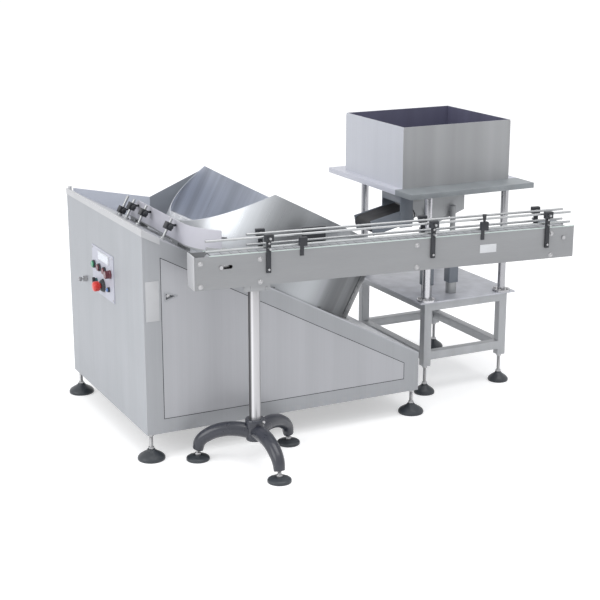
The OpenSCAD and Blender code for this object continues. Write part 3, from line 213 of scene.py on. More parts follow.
def effectGroup(name, inputs, outputs):
    # An input without a value is a vector, and the others are numbers
    group = bpy.data.node_groups.new(name, "ShaderNodeTree")
    for label, value in inputs.items():
        kind = "NodeSocketVector" if value is None else "NodeSocketFloat"
        socket = group.interface.new_socket(name=label, in_out="INPUT", socket_type=kind)
        if value is not None:
            socket.default_value = value
    for label in outputs:
        group.interface.new_socket(name=label, in_out="OUTPUT", socket_type="NodeSocketFloat")
    return group, group.nodes.new("NodeGroupInput"), group.nodes.new("NodeGroupOutput")


def noiseIn(tree, vector, scale, detail, rough=0.55):
    noise = tree.nodes.new("ShaderNodeTexNoise")
    noise.inputs["Scale"].default_value = scale
    noise.inputs["Detail"].default_value = detail
    noise.inputs["Roughness"].default_value = rough
    link(tree, vector, noise.inputs["Vector"])
    return noise.outputs["Fac"]


def makeBrushedGrain():
    # Lines of a brushed or rolled sheet, which run along the vector's Z
    group, start, end = effectGroup(
        "brushedGrain", {"Vector": None, "Across": 220.0, "Along": 2.2}, ["Lines", "Bands"])
    mix = group.nodes.new("ShaderNodeCombineXYZ")
    link(group, start.outputs["Across"], mix.inputs[0])
    link(group, start.outputs["Across"], mix.inputs[1])
    link(group, start.outputs["Along"], mix.inputs[2])
    stretch = group.nodes.new("ShaderNodeVectorMath")
    stretch.operation = "MULTIPLY"
    link(group, start.outputs["Vector"], stretch.inputs[0])
    link(group, mix.outputs[0], stretch.inputs[1])
    link(group, noiseIn(group, stretch.outputs[0], 1.0, 4, 0.7), end.inputs["Lines"])
    link(group, noiseIn(group, stretch.outputs[0], 0.045, 2), end.inputs["Bands"])
    return group


def makeWipedPatches():
    # Cloudy patches where a surface was wiped or handled
    group, start, end = effectGroup("wipedPatches", {"Vector": None, "Size": 5.0}, ["Patches"])
    cloud = group.nodes.new("ShaderNodeTexNoise")
    cloud.inputs["Detail"].default_value = 5
    cloud.inputs["Distortion"].default_value = 0.6
    link(group, start.outputs["Vector"], cloud.inputs["Vector"])
    link(group, start.outputs["Size"], cloud.inputs["Scale"])
    link(group, cloud.outputs["Fac"], end.inputs["Patches"])
    return group


def makePebbledSkin():
    # The pebbled skin of castings, paint and moulded plastic
    group, start, end = effectGroup("pebbledSkin", {"Vector": None, "Size": 600.0}, ["Height", "Tone"])
    pebble = group.nodes.new("ShaderNodeTexVoronoi")
    pebble.feature = "SMOOTH_F1"
    link(group, start.outputs["Vector"], pebble.inputs["Vector"])
    link(group, start.outputs["Size"], pebble.inputs["Scale"])
    link(group, pebble.outputs["Distance"], end.inputs["Height"])
    link(group, noiseIn(group, start.outputs["Vector"], 9.0, 5), end.inputs["Tone"])
    return group


brushedGrain = makeBrushedGrain()
wipedPatches = makeWipedPatches()
pebbledSkin = makePebbledSkin()


def blankFinish(name, metal, coat=0.0):
    finish = bpy.data.materials.new(name)
    tree = emptyTree(finish)
    shader = tree.nodes.new("ShaderNodeBsdfPrincipled")
    shader.inputs["Metallic"].default_value = metal
    shader.inputs["Coat Weight"].default_value = coat
    shader.inputs["Coat Roughness"].default_value = 0.12
    out = tree.nodes.new("ShaderNodeOutputMaterial")
    link(tree, shader.outputs[0], out.inputs[0])
    place = tree.nodes.new("ShaderNodeTexCoord")
    mapping = tree.nodes.new("ShaderNodeMapping")
    link(tree, place.outputs["Object"], mapping.inputs["Vector"])
    return finish, tree, shader, mapping


def placed(tree, group, vector, **values):
    node = tree.nodes.new("ShaderNodeGroup")
    node.node_tree = group
    link(tree, vector, node.inputs["Vector"])
    for label, value in values.items():
        node.inputs[label].default_value = value
    return node


def blendColour(tree, amount, low, high):
    node = tree.nodes.new("ShaderNodeMix")
    node.data_type = "RGBA"
    link(tree, amount, node.inputs["Factor"])
    for socket, value in ((node.inputs[6], low), (node.inputs[7], high)):
        if isinstance(value, tuple):
            socket.default_value = value + (1,)
        else:
            link(tree, value, socket)
    return node.outputs[2]


def spread(tree, value, low, high, fromLow=0.3, fromHigh=0.7):
    node = tree.nodes.new("ShaderNodeMapRange")
    link(tree, value, node.inputs["Value"])
    labels = ("From Min", "From Max", "To Min", "To Max")
    for label, number in zip(labels, (fromLow, fromHigh, low, high)):
        node.inputs[label].default_value = number
    return node.outputs[0]


def bumpInto(tree, shader, height, strength, depth):
    bump = tree.nodes.new("ShaderNodeBump")
    bump.inputs["Strength"].default_value = strength
    bump.inputs["Distance"].default_value = depth
    link(tree, height, bump.inputs["Height"])
    link(tree, bump.outputs[0], shader.inputs["Normal"])


def toned(colour, factor):
    return tuple(min(1.0, c * factor) for c in colour)


def varied(tree, amount, colour, share):
    # The colour made darker or paler by a share, as the amount goes from 0 to 1
    return blendColour(tree, amount, toned(colour, 1 - share), toned(colour, 1 + share))


def split(tree, vector):
    cut = tree.nodes.new("ShaderNodeSeparateXYZ")
    link(tree, vector, cut.inputs[0])
    return cut.outputs


def readIn(mapping, ownFrame):
    # The pattern is read in a frame of its own, such as the deck's
    inverse = ownFrame.inverted()
    mapping.inputs["Location"].default_value = inverse.translation
    mapping.inputs["Rotation"].default_value = inverse.to_euler()


def insideBox(tree, vector, low, high):
    # 1 inside an upright box, 0 outside
    cut = split(tree, vector)
    reach = []
    for axis, a, b in zip("XYZ", low, high):
        off = mathIn(tree, "ABSOLUTE", mathIn(tree, "SUBTRACT", cut[axis], (a + b) / 2))
        reach.append(mathIn(tree, "SUBTRACT", off, (b - a) / 2))
    far = mathIn(tree, "MAXIMUM", mathIn(tree, "MAXIMUM", reach[0], reach[1]), reach[2])
    return mathIn(tree, "LESS_THAN", far, 0)


def sheetSteel(name, colour, metal=0.55, rough=0.42, turn=(0, 0, 0), lines=220.0,
               contrast=0.05, bump=0.06, paintedLightZones=()):
    # A zone is the low and high corner of a box, and the colour painted on the sheet inside it as painted
    # light or shade
    finish, tree, shader, mapping = blankFinish(name, metal)
    mapping.inputs["Rotation"].default_value = turn
    grain = placed(tree, brushedGrain, mapping.outputs[0], Across=lines)
    wipe = placed(tree, wipedPatches, mapping.outputs[0], Size=4.0)
    band = spread(tree, grain.outputs["Bands"], 0, 1)
    tone = varied(tree, band, colour, contrast)
    scratch = spread(tree, grain.outputs["Lines"], 0, 0.10)
    tone = blendColour(tree, scratch, tone, toned(colour, 0.72))
    for low, high, paintedZoneColour in paintedLightZones:
        place = tree.nodes.new("ShaderNodeTexCoord").outputs["Object"]
        paintedZoneTone = varied(tree, band, paintedZoneColour, 0.1)
        tone = blendColour(tree, insideBox(tree, place, low, high), tone, paintedZoneTone)
    link(tree, tone, shader.inputs["Base Color"])
    lined = spread(tree, grain.outputs["Lines"], rough - 0.06, rough + 0.06)
    wiped = spread(tree, wipe.outputs["Patches"], -0.03, 0.05)
    link(tree, mathIn(tree, "ADD", lined, wiped), shader.inputs["Roughness"])
    bumpInto(tree, shader, grain.outputs["Lines"], bump, 0.0006)
    return finish


def skinFinish(name, colour, rough=0.45, size=600.0, bump=0.12, coat=0.0, vary=0.10, metal=0.0):
    finish, tree, shader, mapping = blankFinish(name, metal, coat)
    skin = placed(tree, pebbledSkin, mapping.outputs[0], Size=size)
    wipe = placed(tree, wipedPatches, mapping.outputs[0], Size=14.0)
    tone = varied(tree, spread(tree, skin.outputs["Tone"], 0, 1), colour, vary)
    link(tree, tone, shader.inputs["Base Color"])
    wiped = spread(tree, wipe.outputs["Patches"], rough - 0.06, rough + 0.08)
    link(tree, wiped, shader.inputs["Roughness"])
    bumpInto(tree, shader, skin.outputs["Height"], bump, 0.0004)
    return finish


def paintedReflectionRound(tree, angle, colour, paintedReflectionStops):
    # Painted reflections: each stop is an angle in degrees and the painted brightness there
    turn = tree.nodes.new("ShaderNodeValToRGB")
    link(tree, spread(tree, angle, 0, 1, -math.pi, math.pi), turn.inputs[0])
    ramp = turn.color_ramp
    ramp.interpolation = "B_SPLINE"
    while len(ramp.elements) < len(paintedReflectionStops):
        ramp.elements.new(0.5)
    for element, (degrees, tone) in zip(ramp.elements, paintedReflectionStops):
        element.position = (degrees + 180) / 360
        element.color = toned(colour, tone) + (1,)
    return turn.outputs["Color"]


# Painted reflections: light and dark stripes painted round the stand's polished tube, and the duller plate on
# its top
pole = {
    "colour": (0.53, 0.525, 0.54),
    "paintedReflectionStops": (
        (-180, 0.20), (-156, 0.22), (-148, 0.55), (-140, 1.45), (-132, 1.50), (-122, 1.06), (-100, 1.00),
        (-70, 1.04), (-52, 0.90), (-38, 0.45), (-20, 0.30), (60, 0.90), (140, 0.60), (170, 0.22),
    ),
    "plateLow": (-0.2, -0.2, 0.738), "plateHigh": (0.2, 0.2, 0.8), "plateColour": (0.32, 0.325, 0.335),
}


def poleSteel(name):
    finish, tree, shader, mapping = blankFinish(name, 0.55)
    readIn(mapping, standFrame)
    cut = split(tree, mapping.outputs[0])
    grain = placed(tree, brushedGrain, mapping.outputs[0], Across=60.0)
    # Painted reflections: the tube's light and dark stripes are put in its colour by angle round the column
    paintedReflection = paintedReflectionRound(tree, mathIn(tree, "ARCTAN2", cut["Y"], cut["X"]), pole["colour"], pole["paintedReflectionStops"])
    onPlate = insideBox(tree, mapping.outputs[0], pole["plateLow"], pole["plateHigh"])
    link(tree, blendColour(tree, onPlate, paintedReflection, pole["plateColour"]), shader.inputs["Base Color"])
    link(tree, spread(tree, grain.outputs["Lines"], 0.26, 0.40), shader.inputs["Roughness"])
    bumpInto(tree, shader, grain.outputs["Lines"], 0.04, 0.0006)
    return finish


# Painted reflections: light and dark stripes painted round the drum's rolled wall outside, and a paler, bluer
# painted reflection on its inner face
rolledWall = {
    "colour": (0.40, 0.415, 0.435), "inner": (0.56, 0.59, 0.66),
    "radius": 0.47, "innerRadius": 0.4685,
    "paintedReflectionStops": (
        (-180, 0.96), (-150, 1.40), (-130, 1.75), (-120, 0.62), (-110, 0.70), (-98, 0.96), (-88, 1.10),
        (-81, 0.80), (-76, 0.42), (-68, 0.24), (-56, 0.20), (-40, 0.28), (-20, 0.52), (20, 1.08),
        (70, 0.79), (120, 1.31),
    ),
}


def drumSteel(name):
    finish, tree, shader, mapping = blankFinish(name, 0.75)
    readIn(mapping, deckFrame)
    colour = rolledWall["colour"]
    cut = split(tree, mapping.outputs[0])
    angle = mathIn(tree, "ARCTAN2", cut["Y"], cut["X"])
    unrolled = tree.nodes.new("ShaderNodeCombineXYZ")
    link(tree, mathIn(tree, "MULTIPLY", angle, rolledWall["radius"]), unrolled.inputs[0])
    link(tree, cut["Z"], unrolled.inputs[2])
    grain = placed(tree, brushedGrain, unrolled.outputs[0], Across=240.0, Along=1.2)
    wide = tree.nodes.new("ShaderNodeTexNoise")
    wide.noise_dimensions = "1D"
    wide.inputs["Scale"].default_value = 3.4
    wide.inputs["Detail"].default_value = 3
    link(tree, angle, wide.inputs["W"])
    amount = spread(tree, wide.outputs["Fac"], 0, 1, 0.34, 0.68)
    faint = spread(tree, wide.outputs["Fac"], 0, 0.30, 0.34, 0.68)
    # Painted reflections on the outer face, faded towards the plain colour by random bands round the wall
    paintedReflection = paintedReflectionRound(tree, angle, colour, rolledWall["paintedReflectionStops"])
    outside = blendColour(tree, faint, paintedReflection, blendColour(tree, amount, paintedReflection, colour))
    # Painted reflection on the inner face: the same sheet painted paler and bluer inside
    inside = varied(tree, amount, rolledWall["inner"], 0.22)
    squares = [mathIn(tree, "MULTIPLY", cut[axis], cut[axis]) for axis in "XY"]
    radius = mathIn(tree, "SQRT", mathIn(tree, "ADD", *squares))
    isInner = mathIn(tree, "LESS_THAN", radius, rolledWall["innerRadius"])
    tone = blendColour(tree, isInner, outside, inside)
    scratch = spread(tree, grain.outputs["Lines"], 0, 0.14)
    link(tree, blendColour(tree, scratch, tone, toned(colour, 0.6)), shader.inputs["Base Color"])
    link(tree, spread(tree, grain.outputs["Lines"], 0.26, 0.40), shader.inputs["Roughness"])
    bumpInto(tree, shader, grain.outputs["Lines"], 0.08, 0.0006)
    return finish


# Table-top chain, with painted shade in the gap between its slats
slat = {"colour": (0.40, 0.41, 0.43), "pitch": 0.0381, "gap": 0.0016}


def slatFinish(name):
    finish, tree, shader, mapping = blankFinish(name, 0.0)
    readIn(mapping, conveyorFrame)
    cut = split(tree, mapping.outputs[0])
    along = mathIn(tree, "PINGPONG", cut["X"], slat["pitch"] / 2)
    body = spread(tree, along, 0, 1, slat["gap"] / 2, slat["gap"])
    skin = placed(tree, pebbledSkin, mapping.outputs[0], Size=1500.0)
    tone = varied(tree, spread(tree, skin.outputs["Tone"], 0, 1), slat["colour"], 0.06)
    # Painted shade: the gap between slats is painted near black
    gapPaintedShade = toned(slat["colour"], 0.12)
    link(tree, blendColour(tree, body, gapPaintedShade, tone), shader.inputs["Base Color"])
    link(tree, spread(tree, skin.outputs["Tone"], 0.38, 0.52), shader.inputs["Roughness"])
    bumpInto(tree, shader, body, 0.5, 0.001)
    return finish


levelGrain = (0, math.pi / 2, 0)   # lines along X
depthGrain = (math.pi / 2, 0, 0)   # lines along Y
# Zones of painted light and shade: two corners of a box and the colour painted inside it
# Painted shade: the hopper's front face painted darker than its other faces
hopperFrontPaintedShade = (at(1350, 265, 980), at(1950, 271.5, 1270), (0.36, 0.365, 0.375))
# Painted shade: the hopper's inside painted near black
hopperInsidePaintedShade = (at(1363, 272.5, 990), at(1935, 811.5, 1262), (0.12, 0.12, 0.18))
# Painted light: the table frame's top painted paler than its sides
tableTopPaintedLight = (at(1400, 150, 445), at(1960, 900, 460), (0.50, 0.51, 0.55))
# Painted shade: part of the back guard's front face painted dark
guardGablePaintedShade = (at(400, 960, 600), at(1300, 979, 1300), (0.30, 0.32, 0.36))
# Painted shade: the tray's front part painted darker than the rest
trayFrontPaintedShade = (at(1300, 120, 900), at(2000, 271, 1000), (0.26, 0.28, 0.295))
sheetLooks = {
    "leftSheet": {"colour": (0.40, 0.415, 0.44), "metal": 0.25, "rough": 0.50, "contrast": 0.03},
    "frontSheet": {"colour": (0.39, 0.40, 0.42), "metal": 0.30, "rough": 0.48, "contrast": 0.03},
    "doorSheet": {"colour": (0.46, 0.465, 0.49), "metal": 0.30, "rough": 0.46, "contrast": 0.04},
    "deckSheet": {"colour": (0.46, 0.47, 0.50), "metal": 0.45, "rough": 0.40, "turn": levelGrain},
    "conveyorSheet": {"colour": (0.32, 0.325, 0.335), "metal": 0.30, "turn": levelGrain},
    "hopperSheet": {"colour": (0.54, 0.555, 0.60), "metal": 0.25, "rough": 0.48, "contrast": 0.02,
                    "paintedLightZones": (hopperFrontPaintedShade, hopperInsidePaintedShade)},
    "traySheet": {"colour": (0.59, 0.60, 0.665), "metal": 0.25, "rough": 0.44, "turn": depthGrain,
                  "paintedLightZones": (trayFrontPaintedShade,)},
    "guardSheet": {"colour": (0.64, 0.67, 0.75), "metal": 0.30, "rough": 0.44, "turn": levelGrain,
                   "paintedLightZones": (guardGablePaintedShade,)},
    "panelSheet": {"colour": (0.50, 0.51, 0.58), "metal": 0.20, "rough": 0.46},
    "tubeSteel": {"colour": (0.42, 0.43, 0.445), "metal": 0.40, "lines": 320.0, "paintedLightZones": (tableTopPaintedLight,)},
    "columnSteel": {"colour": (0.46, 0.46, 0.48), "metal": 0.92, "rough": 0.24, "lines": 60.0,
                    "contrast": 0.22, "bump": 0.02},
    "rodSteel": {"colour": (0.44, 0.45, 0.46), "metal": 0.80, "rough": 0.30, "turn": levelGrain,
                 "lines": 420.0, "contrast": 0.04, "bump": 0.03},
    "turnedSteel": {"colour": (0.46, 0.46, 0.47), "metal": 0.90, "rough": 0.30, "turn": depthGrain,
                    "lines": 500.0, "bump": 0.08},
    "plainSteel": {"colour": (0.38, 0.39, 0.40), "metal": 0.50, "rough": 0.48},
}
skinLooks = {
    "whiteSheet": {"colour": (0.56, 0.555, 0.61), "rough": 0.36, "size": 900.0, "bump": 0.03,
                   "coat": 0.1, "vary": 0.02},
    "paleTrim": {"colour": (0.52, 0.525, 0.54), "rough": 0.40, "size": 900.0, "bump": 0.04,
                 "vary": 0.03, "metal": 0.2},
    "mintPlastic": {"colour": (0.66, 0.76, 0.72), "rough": 0.42, "size": 1200.0, "bump": 0.04, "vary": 0.04},
    "whitePlastic": {"colour": (0.70, 0.71, 0.73), "rough": 0.42, "size": 1200.0, "bump": 0.05, "vary": 0.03},
    "blackPlastic": {"colour": (0.022, 0.024, 0.030), "rough": 0.42, "size": 1400.0, "bump": 0.10,
                     "vary": 0.2},
    "footRubber": {"colour": (0.036, 0.042, 0.050), "rough": 0.42, "size": 900.0, "bump": 0.10,
                   "coat": 0.1, "vary": 0.2},
    "castPaint": {"colour": (0.030, 0.033, 0.046), "rough": 0.30, "size": 2600.0, "bump": 0.04,
                  "coat": 0.35, "vary": 0.08},
    "ironCasting": {"colour": (0.10, 0.11, 0.12), "rough": 0.55, "size": 500.0, "bump": 0.22,
                    "vary": 0.15, "metal": 0.3},
    "motorPaint": {"colour": (0.16, 0.18, 0.21), "rough": 0.42, "size": 700.0, "coat": 0.1, "vary": 0.08},
    "beltRubber": {"colour": (0.020, 0.020, 0.022), "rough": 0.62, "size": 1100.0, "bump": 0.20, "vary": 0.2},
    "lensPlastic": {"colour": (0.62, 0.66, 0.74), "rough": 0.16, "size": 1500.0, "bump": 0.01,
                    "coat": 0.6, "vary": 0.02},
    "greenPlastic": {"colour": (0.03, 0.26, 0.13), "rough": 0.30, "size": 1500.0, "bump": 0.03,
                     "coat": 0.4, "vary": 0.06},
    "maroonPlastic": {"colour": (0.12, 0.018, 0.030), "rough": 0.30, "size": 1500.0, "bump": 0.03,
                      "coat": 0.4, "vary": 0.06},
    "tealPlastic": {"colour": (0.015, 0.07, 0.075), "rough": 0.32, "size": 1500.0, "bump": 0.03,
                    "coat": 0.3, "vary": 0.06},
    "redPlastic": {"colour": (0.62, 0.028, 0.018), "rough": 0.28, "size": 1500.0, "bump": 0.03,
                   "coat": 0.4, "vary": 0.05},
    "blueLens": {"colour": (0.06, 0.16, 0.42), "rough": 0.18, "size": 1500.0, "bump": 0.01,
                 "coat": 0.7, "vary": 0.05},
}
finishes = {name: sheetSteel(name, **look) for name, look in sheetLooks.items()}
finishes.update({name: skinFinish(name, **look) for name, look in skinLooks.items()})
finishes["poleSteel"] = poleSteel("poleSteel")
finishes["drumSheet"] = drumSteel("drumSheet")
finishes["slatPlastic"] = slatFinish("slatPlastic")

nodesInFinish = {
    "leftSheet": ("left_panel",),
    "frontSheet": ("plain_panels", "front_fascia", "door_pull"),
    "doorSheet": ("service_door",),
    "deckSheet": ("deck", "disc_cone"),
    "conveyorSheet": ("side_plates",),
    "hopperSheet": ("hopper",),
    "traySheet": ("tray",),
    "guardSheet": ("back_guard",),
    "panelSheet": ("control_plate",),
    "tubeSteel": ("conveyor_arm", "table_frame"),
    "columnSteel": ("table_masts",),
    "poleSteel": ("stand_column",),
    "rodSteel": ("lane_rail", "guard_posts", "front_rails", "back_rails"),
    "turnedSteel": ("door_latch", "key_lock", "rotor_shaft", "drive_shaft", "idler_shaft", "cross_ties",
                    "head_roller", "tail_roller"),
    "plainSteel": ("base_frame", "lane_plate", "feed_chute"),
    "drumSheet": ("drum_shell",),
    "whiteSheet": ("lane_guard",),
    "paleTrim": ("column_plate", "deck_rim", "end_plate"),
    "mintPlastic": ("wear_strips",),
    "whitePlastic": ("slide_ring", "pocket_disc"),
    "slatPlastic": ("slat_chain",),
    "blackPlastic": ("bezels", "guard_clamps", "rail_brackets", "sensors"),
    "footRubber": ("levelling_feet",),
    "castPaint": ("stand_base",),
    "ironCasting": ("bearing_unit", "rotor_pulley", "motor_pulley"),
    "motorPaint": ("gear_motors", "feeder"),
    "beltRubber": ("drive_belt", "feed_belt"),
    "lensPlastic": ("display_window",),
    "greenPlastic": ("start_button",),
    "maroonPlastic": ("stop_button", "jog_button", "speed_knob"),
    "tealPlastic": ("selector_switch",),
    "redPlastic": ("estop_button",),
}
for finish, nodes in nodesInFinish.items():
    for node in nodes:
        mesh = cadNodes[node].data
        if not mesh.materials:
            mesh.materials.append(None)
        for i in range(len(mesh.materials)):
            mesh.materials[i] = finishes[finish]
print("finishes on", sum(len(nodes) for nodes in nodesInFinish.values()), "frame pieces")

# Modelling helpers, with sizes in millimetres
meshing = {"merge": 0.00002, "flat": 1}   # in metres and degrees


def clearSelection():
    if bpy.context.object and bpy.context.object.mode != "OBJECT":
        bpy.ops.object.mode_set(mode="OBJECT")
    bpy.ops.object.select_all(action="DESELECT")


def take(piece):
    clearSelection()
    piece.select_set(True)
    bpy.context.view_layer.objects.active = piece


def moved(piece, matrix):
    take(piece)
    piece.matrix_world = matrix
    bpy.ops.object.transform_apply(location=True, rotation=True, scale=True)
    return piece


def turned(name, rings, sides=32):
    # A round piece from its lowest ring up, each ring a radius and a height
    clearSelection()
    radius, height = rings[0]
    bpy.ops.mesh.primitive_circle_add(vertices=sides, radius=radius / 1000, fill_type="NGON",
                                      location=(0, 0, height / 1000))
    piece = bpy.context.object
    piece.name = name
    bpy.ops.object.transform_apply(location=True)
    bpy.ops.object.mode_set(mode="EDIT")
    bpy.ops.mesh.select_all(action="SELECT")
    for nextRadius, nextHeight in rings[1:]:
        rise = (0, 0, (nextHeight - height) / 1000)
        bpy.ops.mesh.extrude_region_move(TRANSFORM_OT_translate={"value": rise})
        grow = nextRadius / radius
        bpy.ops.transform.resize(value=(grow, grow, 1), center_override=(0, 0, nextHeight / 1000))
        radius, height = nextRadius, nextHeight
    bpy.ops.mesh.select_all(action="SELECT")
    bpy.ops.mesh.normals_make_consistent(inside=False)
    bpy.ops.object.mode_set(mode="OBJECT")
    return piece


def block(name, low, high):
    clearSelection()
    centre = [(a + b) / 2000 for a, b in zip(low, high)]
    size = [(b - a) / 1000 for a, b in zip(low, high)]
    bpy.ops.mesh.primitive_cube_add(size=1, location=centre, scale=size)
    piece = bpy.context.object
    piece.name = name
    bpy.ops.object.transform_apply(location=True, rotation=True, scale=True)
    return piece


def soften(piece, width, segments=2, angle=35):
    take(piece)
    bevel = piece.modifiers.new("edges", "BEVEL")
    bevel.width = width / 1000
    bevel.segments = segments
    bevel.limit_method = "ANGLE"
    bevel.angle_limit = math.radians(angle)
    bpy.ops.object.modifier_apply(modifier=bevel.name)
    return piece


def mended(piece, flatten=False):
    # Doubled points merged, flat faces joined where asked, and normals outwards
    take(piece)
    bpy.ops.object.mode_set(mode="EDIT")
    bpy.ops.mesh.select_all(action="SELECT")
    bpy.ops.mesh.remove_doubles(threshold=meshing["merge"])
    if flatten:
        bpy.ops.mesh.dissolve_limited(angle_limit=math.radians(meshing["flat"]))
        bpy.ops.mesh.select_all(action="SELECT")
    bpy.ops.mesh.normals_make_consistent(inside=False)
    bpy.ops.object.mode_set(mode="OBJECT")
    return piece


def openFaces(piece, wanted):
    # Edit mode, with only the faces selected that the test wants
    take(piece)
    bpy.ops.object.mode_set(mode="EDIT")
    bpy.ops.mesh.select_mode(type="FACE")
    bpy.ops.mesh.select_all(action="DESELECT")
    bpy.ops.object.mode_set(mode="OBJECT")
    for face in piece.data.polygons:
        face.select = wanted(face)
    bpy.ops.object.mode_set(mode="EDIT")


def closeFaces():
    bpy.ops.mesh.select_mode(type="VERT")
    bpy.ops.object.mode_set(mode="OBJECT")


def joined(name, pieces):
    clearSelection()
    for piece in pieces:
        piece.select_set(True)
    bpy.context.view_layer.objects.active = pieces[0]
    if len(pieces) > 1:
        bpy.ops.object.join()
    piece = bpy.context.object
    piece.name = name
    return piece


def repeated(name, model, places):
    # The model copied to each place, each copy with its own mesh, as one piece
    copies = []
    for place in places:
        copy = model.copy()
        copy.data = model.data.copy()
        scene.collection.objects.link(copy)
        copies.append(moved(copy, place))
    bpy.data.objects.remove(model, do_unlink=True)
    return joined(name, copies)


def dress(piece, finish, body="frame", instead=(), smooth=35):
    take(piece)
    piece.data.materials.clear()
    piece.data.materials.append(finishes[finish])
    bpy.ops.object.shade_smooth_by_angle(angle=math.radians(smooth))
    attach(piece, body)
    if instead:
        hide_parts(*instead)


def rounded(name, node, width, finish, segments=2):
    # A frame piece with its edges rounded, in place of the sharp one
    clearSelection()
    piece = cadNodes[node].copy()
    piece.data = cadNodes[node].data.copy()
    piece.name = name
    scene.collection.objects.link(piece)
    soften(mended(piece, flatten=True), width, segments)
    dress(piece, finish, instead=(node,))


# Levelling feet: domed pads, nuts and threaded screws
stand = {
    "legs": (149, 269, 29), "reach": 240,
    "path": ((22, 134, 32), (80, 141, 31), (140, 135, 30), (195, 113, 28.5), (230, 82, 26), (240, 47, 23)),
    "rod": 25, "edge": 5,
    "hub": (
        (30, 96), (37, 98), (39, 102), (39, 132), (37, 134), (37, 137), (39, 139), (39, 168), (38, 172),
        (41, 173), (41, 187), (38, 190), (25, 190),
    ),
    "screw": ((6, 0), (6, 7), (5, 8), (5, 9)), "screwHeight": 181, "screwTurn": -61, "screwOut": 40,
}
standFeet = [(standFrame @ turnedBy(a, "Z") @ shifted(stand["reach"])).translation for a in stand["legs"]]
feet = {
    # The place, the screw's top and the pad's width
    "cabinet": [(at(x, y, 0), 112, 116) for x in (22, 1278) for y in (22, 958)],
    "table": [(at(x, y, 0), 136, 98) for x in (1473, 1892) for y in (224, 817)],
    "stand": [(place, 52, 98) for place in standFeet],
    "tallFrom": 60,
    # Each ring a share of the radius, and a height
    "bell": (
        (0.97, 0.2), (1, 3), (1, 9), (0.96, 14), (0.86, 20), (0.70, 26), (0.53, 32), (0.39, 37),
        (0.31, 41), (0.28, 45),
    ),
    "disc": (
        (0.97, 0.2), (1, 2), (1, 9), (0.97, 12), (0.90, 14.5), (0.72, 17.5), (0.52, 20), (0.36, 21.6),
        (0.33, 22),
    ),
    "nut": 13, "nutHeight": 10, "nutTurn": 17,
    "screw": 8, "screwLow": 20, "thread": 1.0, "pitch": 2.8,
}


def footPad(place, wide, profile):
    pad = turned("pad", [(wide / 2 * share, level) for share, level in profile], 40)
    return moved(pad, Matrix.Translation(place))


def footNut(place, low):
    nut = turned("nut", [(feet["nut"], 0), (feet["nut"], feet["nutHeight"])], 6)
    angle = feet["nutTurn"] + low
    return moved(soften(nut, 0.8), Matrix.Translation(place) @ shifted(z=low) @ turnedBy(angle, "Z"))


def footScrew(place, height):
    rings = [(feet["screw"], feet["screwLow"])]
    while rings[-1][1] < height - 2:
        level = rings[-1][1]
        rings.append((feet["screw"] - feet["thread"], level + feet["pitch"] / 2))
        rings.append((feet["screw"], level + feet["pitch"]))
    return moved(turned("screw", rings, 18), Matrix.Translation(place))


pads, nuts, screws = [], [], []
for place, height, wide in feet["cabinet"] + feet["table"] + feet["stand"]:
    profile = feet["bell"] if height > feet["tallFrom"] else feet["disc"]
    pads.append(footPad(place, wide, profile))
    nuts.append(footNut(place, profile[-1][1]))
    if height > feet["tallFrom"]:
        nuts.append(footNut(place, height - feet["nutHeight"]))
    screws.append(footScrew(place, height))
dress(joined("footPads", pads), "footRubber", instead=("levelling_feet",))
dress(joined("footNuts", nuts), "turnedSteel")
dress(joined("footScrews", screws), "turnedSteel", smooth=20)
print("feet ready")

# Conveyor's stand: cast legs swept along a curve, a clamp hub and its screw


def castLeg(angle):
    clearSelection()
    bpy.ops.curve.primitive_bezier_curve_add()
    leg = bpy.context.object
    leg.name = "leg"
    line = leg.data.splines[0]
    line.bezier_points.add(len(stand["path"]) - 2)
    for point, (reach, height, radius) in zip(line.bezier_points, stand["path"]):
        point.co = (reach / 1000, 0, height / 1000)
        point.radius = radius / stand["rod"]
        point.handle_left_type = point.handle_right_type = "AUTO"
    leg.data.dimensions = "3D"
    leg.data.bevel_depth = stand["rod"] / 1000
    leg.data.bevel_resolution = 6
    leg.data.resolution_u = 8
    leg.data.use_fill_caps = True
    bpy.ops.object.convert(target="MESH")
    leg = soften(mended(bpy.context.object), stand["edge"], 3, 50)
    return moved(leg, standFrame @ turnedBy(angle, "Z"))


legs = [castLeg(angle) for angle in stand["legs"]]
hub = moved(turned("standHub", stand["hub"], 40), standFrame)
dress(joined("standLegs", legs + [hub]), "castPaint", instead=("stand_base",), smooth=45)
screwPlace = standFrame @ shifted(z=stand["screwHeight"]) @ turnedBy(stand["screwTurn"], "Z")
standScrew = soften(turned("standScrew", stand["screw"], 16), 0.6)
moved(standScrew, screwPlace @ shifted(stand["screwOut"]) @ turnedBy(90, "Y"))
dress(standScrew, "turnedSteel")
print("stand ready")

